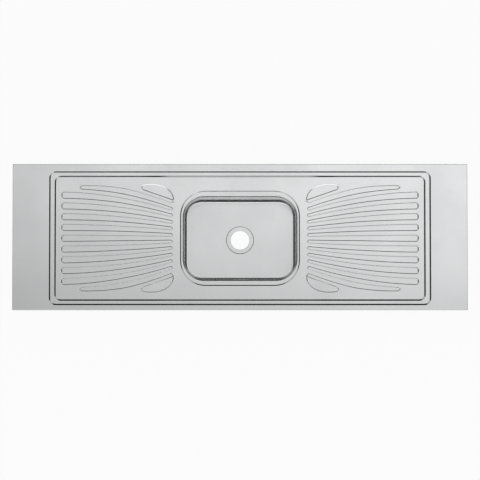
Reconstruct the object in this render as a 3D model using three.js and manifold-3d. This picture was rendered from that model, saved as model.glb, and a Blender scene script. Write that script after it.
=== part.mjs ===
// Stainless steel kitchen sink top: a bowl in the middle, a fluted drainboard on each side of it,
// and plain wings at both ends.
// Millimetres, +Z up, X along the sink, the front edge towards -Y, X and Y zero at the middle of
// the outline. Z zero is the underside of the pad below the bowl, on which the sink stands.
import * as THREE from "three";
import { mergeVertices } from "three/addons/utils/BufferGeometryUtils.js";
import Module from "manifold-3d";

const wasm = await Module();
wasm.setup();

// ---- Driving dimensions ----

// Outline and sheet
const sinkLength = 1600;
const sinkDepth = 514;
const sheet = 1; // stainless sheet, measured upright
const apronHeight = 30; // folded edge all round
const returnWidth = 10; // lip folded in at the foot of the apron
const outlineRadius = 1.5;
const seatGap = 0.3; // between pieces that touch

// Double step down from the flat border to the drainboards
const wingWidth = 131; // flat end, up to the middle of the first step
const frontBorder = 20;
const rearBorder = 27.5;
const stepDrop = 3; // each of the two steps
const ledgeAtEnds = 19; // between the middles of the two steps
const ledgeAlongSides = 15.5;
const firstStepRadius = 22;
const secondStepRadius = 20;

// Drainboards
const boardFall = 2; // from the boards down to the sheet round the bowl; the grooves are as deep
const boardFallFrom = 350; // where the board starts to fall, from the middle of the sink
const grooveOuterX = 627; // where the grooves end
const grooveInnerX = 239; // where the ridges end beside the bowl
const shortGrooveX = 562; // the two outermost grooves of a board stop here
const groovesEachSide = 5; // on each side of a board's middle groove
const outerPitch = 38;
const innerPitch = 22.8;
const earlyTurn = 0.08; // share of the fan's closing that runs evenly; the rest grows as a square
const ridgeWidth = 8; // flat top of a ridge between two grooves
const grooveEndRadius = 8; // corners of a groove's blunt outer end
const outermostExtra = 2.5; // the outermost grooves are wider on their outer side
const turnInFrom = 400; // from here they turn in and narrow towards their outer end
const turnInShift = 9;
const turnInNarrowing = 6; // of the half width
const turnInGrowth = 1.2;
const pocketDepth = 1.3; // half-moon pockets beside the bowl
const pocketOuterX = 336.5; // middle of the pocket's round end
const pocketOuterY = 179.3;
const pocketEndRadius = 8.7;
const pocketTipX = 233;
const pocketTipY = 136;
const pocketTipRadius = 2.7;
const pocketBulge = 56; // how far along the bulging edge leaves its round end
const pocketSwell = 8; // and how far it swells past that end
const pocketLeadX = 2; // the bulging edge heads for the tip from here
const pocketLeadY = 37;
const pocketTipFrom = 170; // degrees where the tip's round begins

// Bowl
const rimLength = 416; // opening in the drainboard sheet
const rimWidth = 330;
const rimRadius = 86;
const bowlDepth = 150; // from the flange down to the edge of the floor
const bowlLedge = 6.5; // flange that shows inside the opening
const weldFlange = 12; // flange hidden under the sheet
const mouthBend = 3; // radius from the flange into the wall
const floorBend = 11; // radius from the wall into the floor
const floorLength = 375;
const floorWidth = 265;
const floorRadius = 51;
const floorFall = 1.2; // towards the drain
const drainRecess = 98; // diameter
const recessDepth = 2.2;
const recessDraft = 2;
const drainHole = 67.5; // diameter

// Sound-deadening pads
const padThickness = 3;
const floorPadLength = 290;
const floorPadWidth = 190;
const floorPadRadius = 30;
const padClearance = 6; // round the underside of the drain recess
const wallPadHeight = 80;
const sidePadWidth = 140;
const frontPadWidth = 220;
const wallPadDrop = 34; // from the flange to the upper edge of a wall pad

// Frame under the sheet
const channelWall = 1.2;
const frontRailWidth = 15;
const rearRailWidth = 22;
const endRailWidth = 22;
const gussetArm = 80;
const gussetThickness = 1.5;
const crossFlange = 7;
const crossWeb = 16;
const crossFromBowl = 6; // between the bowl's flange and the nearest cross channel
const crossFromStep = 4; // between the first step and the outer cross channel
const boardThickness = 16;
const boardMargin = 3;
const stripWidth = 8;
const stripThickness = 3;

// Fixings
const studDiameter = 6;
const studTip = 7; // stud left below the wing nut
const studChamfer = 1;
const weldFootDiameter = 15;
const weldFootThickness = 1.6;
const carcassThickness = 18; // cabinet rail that the clips grip
const clipSlack = 2;
const clipReach = 40;
const clipTail = 10;
const clipWidth = 20;
const clipThickness = 2.5;
const clipHook = 9;
const clipInset = 5; // a clip turned out stops this far inside the outline
const threadClearance = 0.5; // radius
const nutDiameter = 12;
const nutHeight = 6;
const wingSpan = 28;
const wingHeight = 8;
const wingThickness = 2;
const earShoulder = 1; // ears start this far below the top of the nut and inside its barrel
const earSlant = 3;
const earFootLift = 0.5;

// ---- Levels and places that follow from them ----

const floorUnder = padThickness + seatGap;
const floorTop = floorUnder + sheet + floorFall;
const flangeTop = floorTop + bowlDepth;
const lowDeck = flangeTop + seatGap + sheet;
const grooveDeck = lowDeck + boardFall;
const ledgeTop = grooveDeck + stepDrop;
const deckTop = ledgeTop + stepDrop;
const apronFoot = deckTop - apronHeight;
const panelY = (frontBorder - rearBorder) / 2;
const borderUnder = deckTop - sheet - seatGap;
const grooveFloorLift = 0.1; // grooves run out just before the sheet reaches the bowl's level
const grooveFloor = lowDeck + grooveFloorLift;
const ridgeTop = grooveDeck - grooveFloorLift;
const ridgeOverlap = 0.5; // ridges start this much too wide, and the grooves trim them
const pocketFloor = lowDeck - pocketDepth;

const firstStep = {
  halfX: sinkLength / 2 - wingWidth,
  halfY: (sinkDepth - frontBorder - rearBorder) / 2,
  radius: firstStepRadius,
};
const secondStep = {
  halfX: firstStep.halfX - ledgeAtEnds,
  halfY: firstStep.halfY - ledgeAlongSides,
  radius: secondStepRadius,
};
const rim = { halfX: rimLength / 2, halfY: rimWidth / 2, radius: rimRadius };
const floorEdge = { halfX: floorLength / 2, halfY: floorWidth / 2, radius: floorRadius };

const gussetFoot = apronFoot + sheet + seatGap;
const railFoot = gussetFoot + gussetThickness + seatGap;
const insideApron = sheet + seatGap;
const frontRailFace = -sinkDepth / 2 + insideApron + frontRailWidth;
const rearRailFace = sinkDepth / 2 - insideApron - rearRailWidth;
const endRailFace = sinkLength / 2 - insideApron - endRailWidth;
const crossHalf = crossWeb / 2 + crossFlange;
const innerCrossX = rim.halfX + weldFlange + crossFromBowl + crossHalf;
const outerCrossX = firstStep.halfX + stepDrop / 2 + crossFromStep + crossHalf;
const crossFoot = railFoot;
const boardTop = pocketFloor - sheet - seatGap;

const stripFoot = apronFoot - seatGap - stripThickness;
const hookTop = stripFoot - carcassThickness - clipSlack;
const clipTop = hookTop - clipHook;
const clipFoot = clipTop - clipThickness;
const nutTop = clipFoot - seatGap;
const studFoot = nutTop - nutHeight - studTip;
const studTop = crossFoot - seatGap;
const fixingY = sinkDepth / 2 - clipInset - clipReach;

// ---- Materials ----

const stainless = { color: 0xc9cacb, roughness: 0.26, metalness: 1 };
const galvanised = { color: 0xa9adae, roughness: 0.5, metalness: 0.9 };
const zincPlated = { color: 0xc4c6c2, roughness: 0.35, metalness: 0.95 };
const chipboard = { color: 0xb8976a, roughness: 0.9, metalness: 0 };
const bitumen = { color: 0x2c2c2e, roughness: 0.85, metalness: 0 };
const foam = { color: 0x3a3b3d, roughness: 0.95, metalness: 0 };

// ---- Outlines: lists of points, anticlockwise seen from above ----

const cornerSteps = 8;
const bandSteps = 6;
const capSteps = 6;
const roundSteps = 12;
const smallCornerSteps = 2;
const mouthSteps = 2;
const floorBendSteps = 3;
const pocketEndSteps = 5;
const pocketTipSteps = 3;
const pocketBulgeSteps = 6;
const over = 1; // cutters reach this far past the surface they cut

function grown(box, by) {
  return { halfX: box.halfX + by, halfY: box.halfY + by, radius: box.radius + by };
}

function roundedRectangle({ halfX, halfY, radius }, centreY, z, steps = cornerSteps) {
  const points = [];
  for (let corner = 0; corner < 4; corner++) {
    const signX = corner === 0 || corner === 3 ? 1 : -1;
    const signY = corner < 2 ? 1 : -1;
    for (let i = 0; i <= steps; i++) {
      const angle = ((corner + i / steps) * Math.PI) / 2;
      const x = signX * (halfX - radius) + radius * Math.cos(angle);
      const y = centreY + signY * (halfY - radius) + radius * Math.sin(angle);
      points.push(new THREE.Vector3(x, y, z));
    }
  }
  return points;
}

function circle(radius, centreY, z, steps = cornerSteps) {
  const points = [];
  for (let corner = 0; corner < 4; corner++) {
    for (let i = 0; i <= steps; i++) {
      const angle = ((corner + (i + 0.5) / (steps + 1)) * Math.PI) / 2;
      points.push(
        new THREE.Vector3(radius * Math.cos(angle), centreY + radius * Math.sin(angle), z),
      );
    }
  }
  return points;
}

// How far the fan of grooves has closed at x, from 0 at the outer end to 1 beside the bowl.
function fanClosed(x) {
  const way = (grooveOuterX - x) / (grooveOuterX - grooveInnerX);
  return earlyTurn * way + (1 - earlyTurn) * way * way;
}

function pitchAt(x) {
  return outerPitch - (outerPitch - innerPitch) * fanClosed(x);
}

// Strips of the right-hand fan, by how their middle and half width change along it. Grooves are
// numbered from the middle of the board; a number and a half is the ridge between two of them.
function ridgeStrip(number) {
  const extra = Math.abs(number) > groovesEachSide ? Math.sign(number) * outermostExtra : 0;
  return {
    middle: (x) => panelY + number * pitchAt(x) + extra,
    half: () => ridgeWidth / 2,
  };
}

function grooveStrip(number) {
  const outermost = Math.abs(number) === groovesEachSide;
  const extra = outermost ? outermostExtra / 2 : 0;
  const turnLength = shortGrooveX - turnInFrom;
  const turned = (x) =>
    outermost ? (Math.max(0, x - turnInFrom) / turnLength) ** turnInGrowth : 0;
  return {
    middle: (x) =>
      panelY + number * pitchAt(x) + Math.sign(number) * (extra - turnInShift * turned(x)),
    half: (x) => (pitchAt(x) - ridgeWidth) / 2 + extra - turnInNarrowing * turned(x),
  };
}

// A strip between two x, widened all round. Its end at roundX has round corners.
function band({ middle, half }, squareX, roundX, cornerRadius, widen, z) {
  const away = Math.sign(roundX - squareX);
  const capX = roundX - away * cornerRadius;
  const radius = cornerRadius + widen;
  const straight = half(capX) - cornerRadius;
  const points = [];
  for (let i = 0; i <= bandSteps; i++) {
    const x = THREE.MathUtils.lerp(squareX, capX, i / bandSteps);
    points.push(new THREE.Vector3(x, middle(x) - away * (half(x) + widen), z));
  }
  for (let i = 1; i < capSteps; i++) {
    const angle = (i / capSteps - 0.5) * Math.PI;
    const x = capX + away * radius * Math.cos(angle);
    const across = Math.sign(angle) * straight + radius * Math.sin(angle);
    points.push(new THREE.Vector3(x, middle(capX) + away * across, z));
  }
  for (let i = bandSteps; i >= 0; i--) {
    const x = THREE.MathUtils.lerp(squareX, capX, i / bandSteps);
    points.push(new THREE.Vector3(x, middle(x) + away * (half(x) + widen), z));
  }
  return points;
}

function arcPoints(centreX, centreY, radius, from, to, steps) {
  const points = [];
  for (let i = 0; i <= steps; i++) {
    const angle = THREE.MathUtils.lerp(from, to, i / steps);
    points.push([centreX + radius * Math.cos(angle), centreY + radius * Math.sin(angle)]);
  }
  return points;
}

// The half-moon pocket at the rear of the right-hand board, grown by a margin all round.
// A straight inner edge, a round outer end, and a bulging edge that runs down to the tip.
function halfMoon(widen, z) {
  const [endRadius, tipRadius] = [pocketEndRadius + widen, pocketTipRadius + widen];
  const straight = Math.atan2(
    pocketOuterY - pocketEndRadius - pocketTipY + pocketTipRadius,
    pocketOuterX - pocketTipX,
  );
  const inner = straight - Math.PI / 2;
  const tipStart = THREE.MathUtils.degToRad(pocketTipFrom);
  const tipEnd = inner + 2 * Math.PI;
  const end = arcPoints(
    pocketOuterX, pocketOuterY, endRadius, inner, Math.PI / 2, pocketEndSteps,
  );
  const tip = arcPoints(pocketTipX, pocketTipY, tipRadius, tipStart, tipEnd, pocketTipSteps);
  const bulge = new THREE.CubicBezierCurve(
    new THREE.Vector2(...end.at(-1)),
    new THREE.Vector2(pocketOuterX - pocketBulge, pocketOuterY + endRadius + pocketSwell),
    new THREE.Vector2(pocketTipX + pocketLeadX - widen, pocketTipY + pocketLeadY + widen),
    new THREE.Vector2(...tip[0]),
  );
  const bulging = bulge.getPoints(pocketBulgeSteps).map((p) => p.toArray());
  const outline = [...end.slice(0, -1), ...bulging, ...tip.slice(1)];
  return outline.map(([x, y]) => new THREE.Vector3(x, panelY + y, z));
}

function mirroredX(points) {
  return points.map((p) => new THREE.Vector3(-p.x, p.y, p.z)).reverse();
}

function mirroredY(points) {
  return points.map((p) => new THREE.Vector3(p.x, 2 * panelY - p.y, p.z)).reverse();
}

// ---- Solids ----

function geometryOf(points, triangles) {
  const geometry = new THREE.BufferGeometry().setFromPoints(points);
  geometry.setIndex(triangles);
  return geometry;
}

// A closed body through outlines with equally many points, from the lowest to the highest.
function loft(outlines) {
  const count = outlines[0].length;
  const triangles = [];
  for (let level = 0; level + 1 < outlines.length; level++) {
    for (let i = 0; i < count; i++) {
      const [a, b] = [level * count + i, level * count + ((i + 1) % count)];
      triangles.push(a, b, b + count, a, b + count, a + count);
    }
  }
  const top = (outlines.length - 1) * count;
  const flat = (outline) => outline.map((p) => new THREE.Vector2(p.x, p.y));
  for (const [a, b, c] of THREE.ShapeUtils.triangulateShape(flat(outlines[0]), [])) {
    triangles.push(a, c, b);
  }
  for (const [a, b, c] of THREE.ShapeUtils.triangulateShape(flat(outlines.at(-1)), [])) {
    triangles.push(top + a, top + b, top + c);
  }
  return geometryOf(outlines.flat(), triangles);
}

// A closed skin through outlines that return to the first one.
function ringLoft(outlines) {
  const count = outlines[0].length;
  const total = outlines.length * count;
  const triangles = [];
  for (let level = 0; level < outlines.length; level++) {
    for (let i = 0; i < count; i++) {
      const [a, b] = [level * count + i, level * count + ((i + 1) % count)];
      triangles.push(a, b, (b + count) % total, a, (b + count) % total, (a + count) % total);
    }
  }
  return geometryOf(outlines.flat(), triangles);
}

function solid(geometry) {
  const bare = geometry.clone();
  bare.deleteAttribute("normal");
  bare.deleteAttribute("uv");
  const merged = mergeVertices(bare, 1e-4);
  return new wasm.Manifold(
    new wasm.Mesh({
      numProp: 3,
      vertProperties: new Float32Array(merged.attributes.position.array),
      triVerts: new Uint32Array(merged.index.array),
    }),
  );
}

function fromSolid(body) {
  const { vertProperties, numProp, triVerts } = body.getMesh();
  const points = [];
  for (let i = 0; i < vertProperties.length; i += numProp) {
    points.push(new THREE.Vector3(...vertProperties.subarray(i, i + 3)));
  }
  return geometryOf(points, Array.from(triVerts));
}

function box(x0, x1, y0, y1, z0, z1) {
  const geometry = new THREE.BoxGeometry(x1 - x0, y1 - y0, z1 - z0);
  return geometry.translate((x0 + x1) / 2, (y0 + y1) / 2, (z0 + z1) / 2);
}

// A profile drawn in (across, up), run along X or Y from start to end.
function channel(profile, start, end, along) {
  const shape = new THREE.Shape(profile.map(([across, up]) => new THREE.Vector2(across, up)));
  const geometry = new THREE.ExtrudeGeometry(shape, { depth: end - start, bevelEnabled: false });
  geometry.rotateX(Math.PI / 2);
  if (along === "x") geometry.rotateZ(Math.PI / 2);
  return along === "x" ? geometry.translate(start, 0, 0) : geometry.translate(0, end, 0);
}

function turned(profile, steps = roundSteps) {
  const geometry = new THREE.LatheGeometry(
    profile.map(([radius, up]) => new THREE.Vector2(radius, up)),
    steps,
  );
  return geometry.rotateX(Math.PI / 2);
}

// ---- The object ----

const sink = new THREE.Group();

function place(name, geometry, material, parent = sink) {
  const mesh = new THREE.Mesh(geometry, new THREE.MeshStandardMaterial(material));
  mesh.name = name;
  parent.add(mesh);
  return mesh;
}

// Everything below the pressed surface. Lowered and inset by the sheet, it is the hollow.
function pressedBody(lowered, inset, foot) {
  const outline = {
    halfX: sinkLength / 2 - inset,
    halfY: sinkDepth / 2 - inset,
    radius: outlineRadius - inset,
  };
  const top = deckTop - lowered;
  const drafted = (step, from, to) =>
    loft([
      roundedRectangle(grown(step, to - from - stepDrop / 2), panelY, to - lowered),
      roundedRectangle(grown(step, stepDrop / 2 + over), panelY, from + over - lowered),
    ]);
  const border = loft([
    roundedRectangle(outline, 0, foot, smallCornerSteps),
    roundedRectangle(outline, 0, top, smallCornerSteps),
  ]);
  const ledge = drafted(firstStep, deckTop, ledgeTop);
  const board = solid(
    loft([
      roundedRectangle(grown(secondStep, -stepDrop / 2 - boardFall - over), panelY,
        lowDeck - over - lowered),
      roundedRectangle(grown(secondStep, stepDrop / 2 + over), panelY, ledgeTop + over - lowered),
    ]),
  );
  const slopes = channel(
    [
      [-sinkLength / 2, grooveDeck - lowered],
      [-boardFallFrom, grooveDeck - lowered],
      [-grooveInnerX, lowDeck - lowered],
      [grooveInnerX, lowDeck - lowered],
      [boardFallFrom, grooveDeck - lowered],
      [sinkLength / 2, grooveDeck - lowered],
      [sinkLength / 2, deckTop + over],
      [-sinkLength / 2, deckTop + over],
    ],
    -sinkDepth / 2,
    sinkDepth / 2,
    "y",
  );
  let body = solid(border)
    .subtract(solid(ledge))
    .subtract(board.intersect(solid(slopes)));
  const both = (outlines) => [outlines, outlines.map(mirroredX)];
  for (let n = -groovesEachSide - 1; n <= groovesEachSide; n++) {
    const ridge = (z) =>
      band(ridgeStrip(n + 0.5), boardFallFrom, grooveInnerX, ridgeWidth / 2,
        grooveDeck - z + ridgeOverlap, z - lowered);
    const levels = [ridge(lowDeck - over), ridge(ridgeTop)];
    for (const outlines of both(levels)) body = body.add(solid(loft(outlines)));
  }
  for (let n = -groovesEachSide; n <= groovesEachSide; n++) {
    const endX = Math.abs(n) === groovesEachSide ? shortGrooveX : grooveOuterX;
    const groove = (z) =>
      band(grooveStrip(n), grooveInnerX - ridgeWidth, endX, grooveEndRadius, z - grooveDeck,
        z - lowered);
    const levels = [groove(grooveFloor), groove(grooveDeck + over)];
    for (const outlines of both(levels)) body = body.subtract(solid(loft(outlines)));
  }
  const rearPocket = [
    halfMoon(-pocketDepth, pocketFloor - lowered),
    halfMoon(boardFall + over, grooveDeck + over - lowered),
  ];
  for (const pocket of [rearPocket, rearPocket.map(mirroredY)]) {
    for (const outlines of both(pocket)) body = body.subtract(solid(loft(outlines)));
  }
  return body;
}

// Pressed sheet: border, double step, drainboards, apron and the lip folded in at its foot.
function deck() {
  const lip = {
    halfX: sinkLength / 2 - returnWidth,
    halfY: sinkDepth / 2 - returnWidth,
    radius: outlineRadius,
  };
  const underLip = loft([
    roundedRectangle(lip, 0, apronFoot - over, smallCornerSteps),
    roundedRectangle(lip, 0, apronFoot + sheet + over, smallCornerSteps),
  ]);
  const opening = loft([
    roundedRectangle(grown(rim, -sheet - over), panelY, lowDeck - sheet - over),
    roundedRectangle(grown(rim, over), panelY, lowDeck + over),
  ]);
  return fromSolid(
    pressedBody(0, 0, apronFoot)
      .subtract(pressedBody(sheet, sheet, apronFoot + sheet))
      .subtract(solid(underLip))
      .subtract(solid(opening)),
  );
}

// Deep-drawn bowl: weld flange, wall, floor falling to the drain recess, and the drain hole.
const mouth = grown(rim, -bowlLedge - mouthBend);
const wallFoot = grown(floorEdge, floorBend);
const wallTopZ = flangeTop - mouthBend;
const wallFootZ = floorTop + floorBend;

function bowlSurface(thickness) {
  const bend = (edge, radius, centreZ, from, to, steps) => {
    const outlines = [];
    for (let i = 0; i <= steps; i++) {
      const angle = THREE.MathUtils.degToRad(from + ((to - from) * i) / steps);
      const section = grown(edge, radius * Math.cos(angle));
      outlines.push(roundedRectangle(section, panelY, centreZ + radius * Math.sin(angle)));
    }
    return outlines;
  };
  const down = flangeTop - thickness;
  const recessTop = floorTop - floorFall - thickness;
  return [
    roundedRectangle(grown(rim, weldFlange), panelY, down),
    ...bend(grown(mouth, mouthBend), mouthBend - thickness, wallTopZ, 90, 180, mouthSteps),
    ...bend(floorEdge, floorBend + thickness, wallFootZ, 0, -90, floorBendSteps),
    circle(drainRecess / 2 + thickness, panelY, recessTop),
    circle(drainRecess / 2 - recessDraft + thickness, panelY, recessTop - recessDepth),
    circle(drainHole / 2, panelY, recessTop - recessDepth),
  ];
}

function bowl() {
  return ringLoft([...bowlSurface(0), ...bowlSurface(sheet).reverse()]);
}

function floorPad() {
  const pad = { halfX: floorPadLength / 2, halfY: floorPadWidth / 2, radius: floorPadRadius };
  const hole = drainRecess / 2 + sheet + padClearance;
  return ringLoft([
    roundedRectangle(pad, panelY, 0),
    roundedRectangle(pad, panelY, padThickness),
    circle(hole, panelY, padThickness),
    circle(hole, panelY, 0),
  ]);
}

// Pads on the bowl's four walls, each parallel to its wall. Outwards is X for the sides.
function wallPad(width, topHalf, footHalf) {
  const lean = Math.atan2(topHalf - footHalf, wallTopZ - wallFootZ);
  const geometry = new THREE.BoxGeometry(padThickness, width, wallPadHeight);
  geometry.translate(padThickness / 2 + seatGap, 0, 0).rotateY(lean);
  const middleZ = flangeTop - wallPadDrop - wallPadHeight / 2;
  const share = (middleZ - wallFootZ) / (wallTopZ - wallFootZ);
  return geometry.translate(THREE.MathUtils.lerp(footHalf, topHalf, share) + sheet, 0, middleZ);
}

function addWallPads() {
  for (const [name, turns] of [["right", 0], ["rear", 1], ["left", 2], ["front", 3]]) {
    const alongX = turns % 2 === 0;
    const pad = alongX
      ? wallPad(sidePadWidth, mouth.halfX, wallFoot.halfX)
      : wallPad(frontPadWidth, mouth.halfY, wallFoot.halfY);
    const mesh = place(name + "_wall_pad", pad, bitumen);
    mesh.rotation.z = (turns * Math.PI) / 2;
    mesh.position.y = panelY;
  }
}

// Channel section with its back at `face`, opening towards the middle of the sink.
function railProfile(face, width, inwards) {
  const [near, far] = [face, face + inwards * width];
  const wall = inwards * channelWall;
  return [
    [near, railFoot],
    [far, railFoot],
    [far, railFoot + channelWall],
    [near + wall, railFoot + channelWall],
    [near + wall, borderUnder - channelWall],
    [far, borderUnder - channelWall],
    [far, borderUnder],
    [near, borderUnder],
  ];
}

function addRails() {
  const [endX, edgeY] = [sinkLength / 2 - insideApron, sinkDepth / 2 - insideApron];
  const frontProfile = railProfile(-edgeY, frontRailWidth, 1);
  place("front_rail", channel(frontProfile, -endX, endX, "x"), galvanised);
  const rearProfile = railProfile(edgeY, rearRailWidth, -1);
  place("rear_rail", channel(rearProfile, -endX, endX, "x"), galvanised);
  for (const [name, side] of [["left", -1], ["right", 1]]) {
    const profile = railProfile(side * endX, endRailWidth, -side);
    const [start, end] = [frontRailFace + seatGap, rearRailFace - seatGap];
    place(name + "_rail", channel(profile, start, end, "y"), galvanised);
  }
}

// Corner plates that tie the rails together, flat under them.
function addGussets() {
  const [endX, edgeY] = [sinkLength / 2 - insideApron, sinkDepth / 2 - insideApron];
  for (const [alongX, sideX] of [["left", -1], ["right", 1]]) {
    for (const [alongY, sideY, width] of [
      ["front", -1, frontRailWidth],
      ["rear", 1, rearRailWidth],
    ]) {
      const corner = [
        [0, 0],
        [gussetArm, 0],
        [gussetArm, width],
        [endRailWidth, width],
        [endRailWidth, gussetArm],
        [0, gussetArm],
      ];
      const points = corner.map(
        ([inX, inY]) => new THREE.Vector2(sideX * (endX - inX), sideY * (edgeY - inY)),
      );
      const plate = new THREE.ExtrudeGeometry(new THREE.Shape(points), {
        depth: gussetThickness,
        bevelEnabled: false,
      });
      place(`${alongY}_${alongX}_gusset`, plate.translate(0, 0, gussetFoot), galvanised);
    }
  }
}

// Hat section open upwards, its two flanges against the underside of the sheet.
function crossChannel(x, top) {
  const [web, out, wall] = [crossWeb / 2, crossHalf, channelWall];
  const profile = [
    [x - web, crossFoot],
    [x + web, crossFoot],
    [x + web, top - wall],
    [x + out, top - wall],
    [x + out, top],
    [x + web - wall, top],
    [x + web - wall, crossFoot + wall],
    [x - web + wall, crossFoot + wall],
    [x - web + wall, top],
    [x - out, top],
    [x - out, top - wall],
    [x - web, top - wall],
  ];
  return channel(profile, frontRailFace + seatGap, rearRailFace - seatGap, "y");
}

function addCrossChannels() {
  for (const [name, side] of [["left", -1], ["right", 1]]) {
    place(name + "_inner_cross_channel", crossChannel(side * innerCrossX, boardTop), galvanised);
    place(name + "_outer_cross_channel", crossChannel(side * outerCrossX, borderUnder), galvanised);
  }
}

// Backing boards: one under each drainboard and one under each plain wing.
function addBoards() {
  const [front, rear] = [frontRailFace + boardMargin, rearRailFace - boardMargin];
  const drainer = [innerCrossX + crossHalf + boardMargin, outerCrossX - crossHalf - boardMargin];
  const wing = [outerCrossX + crossHalf + boardMargin, endRailFace - boardMargin];
  for (const [name, side] of [["left", -1], ["right", 1]]) {
    for (const [part, [near, far], top] of [
      ["drainer", drainer, boardTop],
      ["wing", wing, borderUnder],
    ]) {
      const [x0, x1] = [side * near, side * far].sort((a, b) => a - b);
      const board = box(x0, x1, front, rear, top - boardThickness, top);
      place(`${name}_${part}_backing`, board, chipboard);
    }
  }
}

// Foam strips under the lip, on which the sink lies when it is fitted.
function addStrips() {
  const inset = (returnWidth - stripWidth) / 2;
  const [endX, edgeY] = [sinkLength / 2 - inset, sinkDepth / 2 - inset];
  const top = stripFoot + stripThickness;
  for (const [name, side] of [["front", -1], ["rear", 1]]) {
    const [y0, y1] = [side * edgeY, side * (edgeY - stripWidth)].sort((a, b) => a - b);
    place(name + "_seal", box(-endX, endX, y0, y1, stripFoot, top), foam);
  }
  const reach = edgeY - stripWidth - seatGap;
  for (const [name, side] of [["left", -1], ["right", 1]]) {
    const [x0, x1] = [side * endX, side * (endX - stripWidth)].sort((a, b) => a - b);
    place(name + "_seal", box(x0, x1, -reach, reach, stripFoot, top), foam);
  }
}

// Threaded stud with a weld foot, hanging from a cross channel.
function stud() {
  const radius = studDiameter / 2;
  const foot = weldFootDiameter / 2;
  return turned([
    [0, studFoot],
    [radius - studChamfer, studFoot],
    [radius, studFoot + studChamfer],
    [radius, studTop - weldFootThickness],
    [foot, studTop - weldFootThickness],
    [foot, studTop],
    [0, studTop],
  ]);
}

// Flat steel clip with an upturned hook, drawn pointing along +X from its stud.
function clip() {
  const shape = new THREE.Shape([
    new THREE.Vector2(-clipTail, clipFoot),
    new THREE.Vector2(clipReach, clipFoot),
    new THREE.Vector2(clipReach, hookTop),
    new THREE.Vector2(clipReach - clipThickness, hookTop),
    new THREE.Vector2(clipReach - clipThickness, clipTop),
    new THREE.Vector2(-clipTail, clipTop),
  ]);
  const bar = new THREE.ExtrudeGeometry(shape, { depth: clipWidth, bevelEnabled: false });
  bar.translate(0, 0, -clipWidth / 2).rotateX(Math.PI / 2);
  const radius = studDiameter / 2 + threadClearance;
  const hole = turned([
    [0, clipFoot - over],
    [radius, clipFoot - over],
    [radius, clipTop + over],
    [0, clipTop + over],
  ]);
  return fromSolid(solid(bar).subtract(solid(hole)));
}

// Wing nut under the clip: a round body with two upright ears.
function wingNut() {
  const foot = nutTop - nutHeight;
  const bore = studDiameter / 2 + threadClearance;
  const barrel = turned([
    [0, foot],
    [nutDiameter / 2, foot],
    [nutDiameter / 2, nutTop],
    [0, nutTop],
  ]);
  const thread = turned([
    [0, foot - over],
    [bore, foot - over],
    [bore, nutTop + over],
    [0, nutTop + over],
  ]);
  const shoulder = nutTop - earShoulder;
  const tipZ = nutTop - nutHeight / 2 - wingHeight / 2;
  const rightEar = [
    [nutDiameter / 2 - earShoulder, foot + earFootLift],
    [wingSpan / 2 - earSlant, shoulder - wingHeight],
    [wingSpan / 2, tipZ],
    [nutDiameter / 2, shoulder],
  ];
  const leftEar = rightEar.map(([x, z]) => [-x, z]).reverse();
  const ears = new THREE.Shape(
    [...leftEar, ...rightEar].map(([x, z]) => new THREE.Vector2(x, z)),
  );
  const plate = new THREE.ExtrudeGeometry(ears, { depth: wingThickness, bevelEnabled: false });
  plate.translate(0, 0, -wingThickness / 2).rotateX(Math.PI / 2);
  return fromSolid(solid(barrel).add(solid(plate)).subtract(solid(thread)));
}

// Eight fixings: a stud, its clip and its wing nut near each end of each cross channel.
function addFixings() {
  const columns = [-outerCrossX, -innerCrossX, innerCrossX, outerCrossX];
  for (const [row, side] of [["front", -1], ["rear", 1]]) {
    columns.forEach((x, i) => {
      const fixing = new THREE.Group();
      fixing.position.set(x, side * fixingY, 0);
      sink.add(fixing);
      place(`${row}_stud_${i + 1}`, stud(), zincPlated, fixing);
      place(`${row}_wing_nut_${i + 1}`, wingNut(), zincPlated, fixing);
      const swinging = place(`${row}_clip_${i + 1}`, clip(), zincPlated, fixing);
      swinging.rotation.z = x < 0 ? Math.PI : 0; // stowed along the sink, away from the middle
    });
  }
}

place("deck", deck(), stainless);
place("bowl", bowl(), stainless);
place("floor_pad", floorPad(), bitumen);
addWallPads();
addRails();
addGussets();
addCrossChannels();
addBoards();
addStrips();
addFixings();

export default sink;
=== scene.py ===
import math

import bpy
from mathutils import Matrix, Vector
from mathutils.geometry import delaunay_2d_cdt


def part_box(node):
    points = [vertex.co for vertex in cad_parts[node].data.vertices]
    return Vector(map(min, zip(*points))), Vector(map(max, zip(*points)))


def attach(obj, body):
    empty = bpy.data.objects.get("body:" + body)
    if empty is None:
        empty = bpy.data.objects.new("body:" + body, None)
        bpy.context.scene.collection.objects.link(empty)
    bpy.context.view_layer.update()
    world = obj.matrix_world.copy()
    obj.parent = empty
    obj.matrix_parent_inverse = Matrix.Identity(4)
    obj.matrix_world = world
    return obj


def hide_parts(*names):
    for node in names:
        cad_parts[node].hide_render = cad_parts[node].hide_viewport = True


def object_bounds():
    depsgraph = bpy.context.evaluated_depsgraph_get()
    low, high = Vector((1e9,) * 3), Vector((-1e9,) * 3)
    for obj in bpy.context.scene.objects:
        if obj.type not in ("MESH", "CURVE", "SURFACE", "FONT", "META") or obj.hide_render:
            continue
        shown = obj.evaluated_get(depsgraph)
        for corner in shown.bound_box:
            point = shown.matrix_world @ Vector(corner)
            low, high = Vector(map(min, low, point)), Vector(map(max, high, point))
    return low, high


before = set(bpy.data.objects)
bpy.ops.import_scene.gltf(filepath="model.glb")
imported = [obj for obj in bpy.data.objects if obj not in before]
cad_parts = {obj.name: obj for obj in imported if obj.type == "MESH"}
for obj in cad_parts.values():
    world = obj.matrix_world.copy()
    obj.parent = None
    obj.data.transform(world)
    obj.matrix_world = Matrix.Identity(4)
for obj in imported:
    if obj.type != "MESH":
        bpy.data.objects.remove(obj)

cad_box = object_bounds()
scene = bpy.context.scene
scene.view_settings.view_transform = "Standard"

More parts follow.
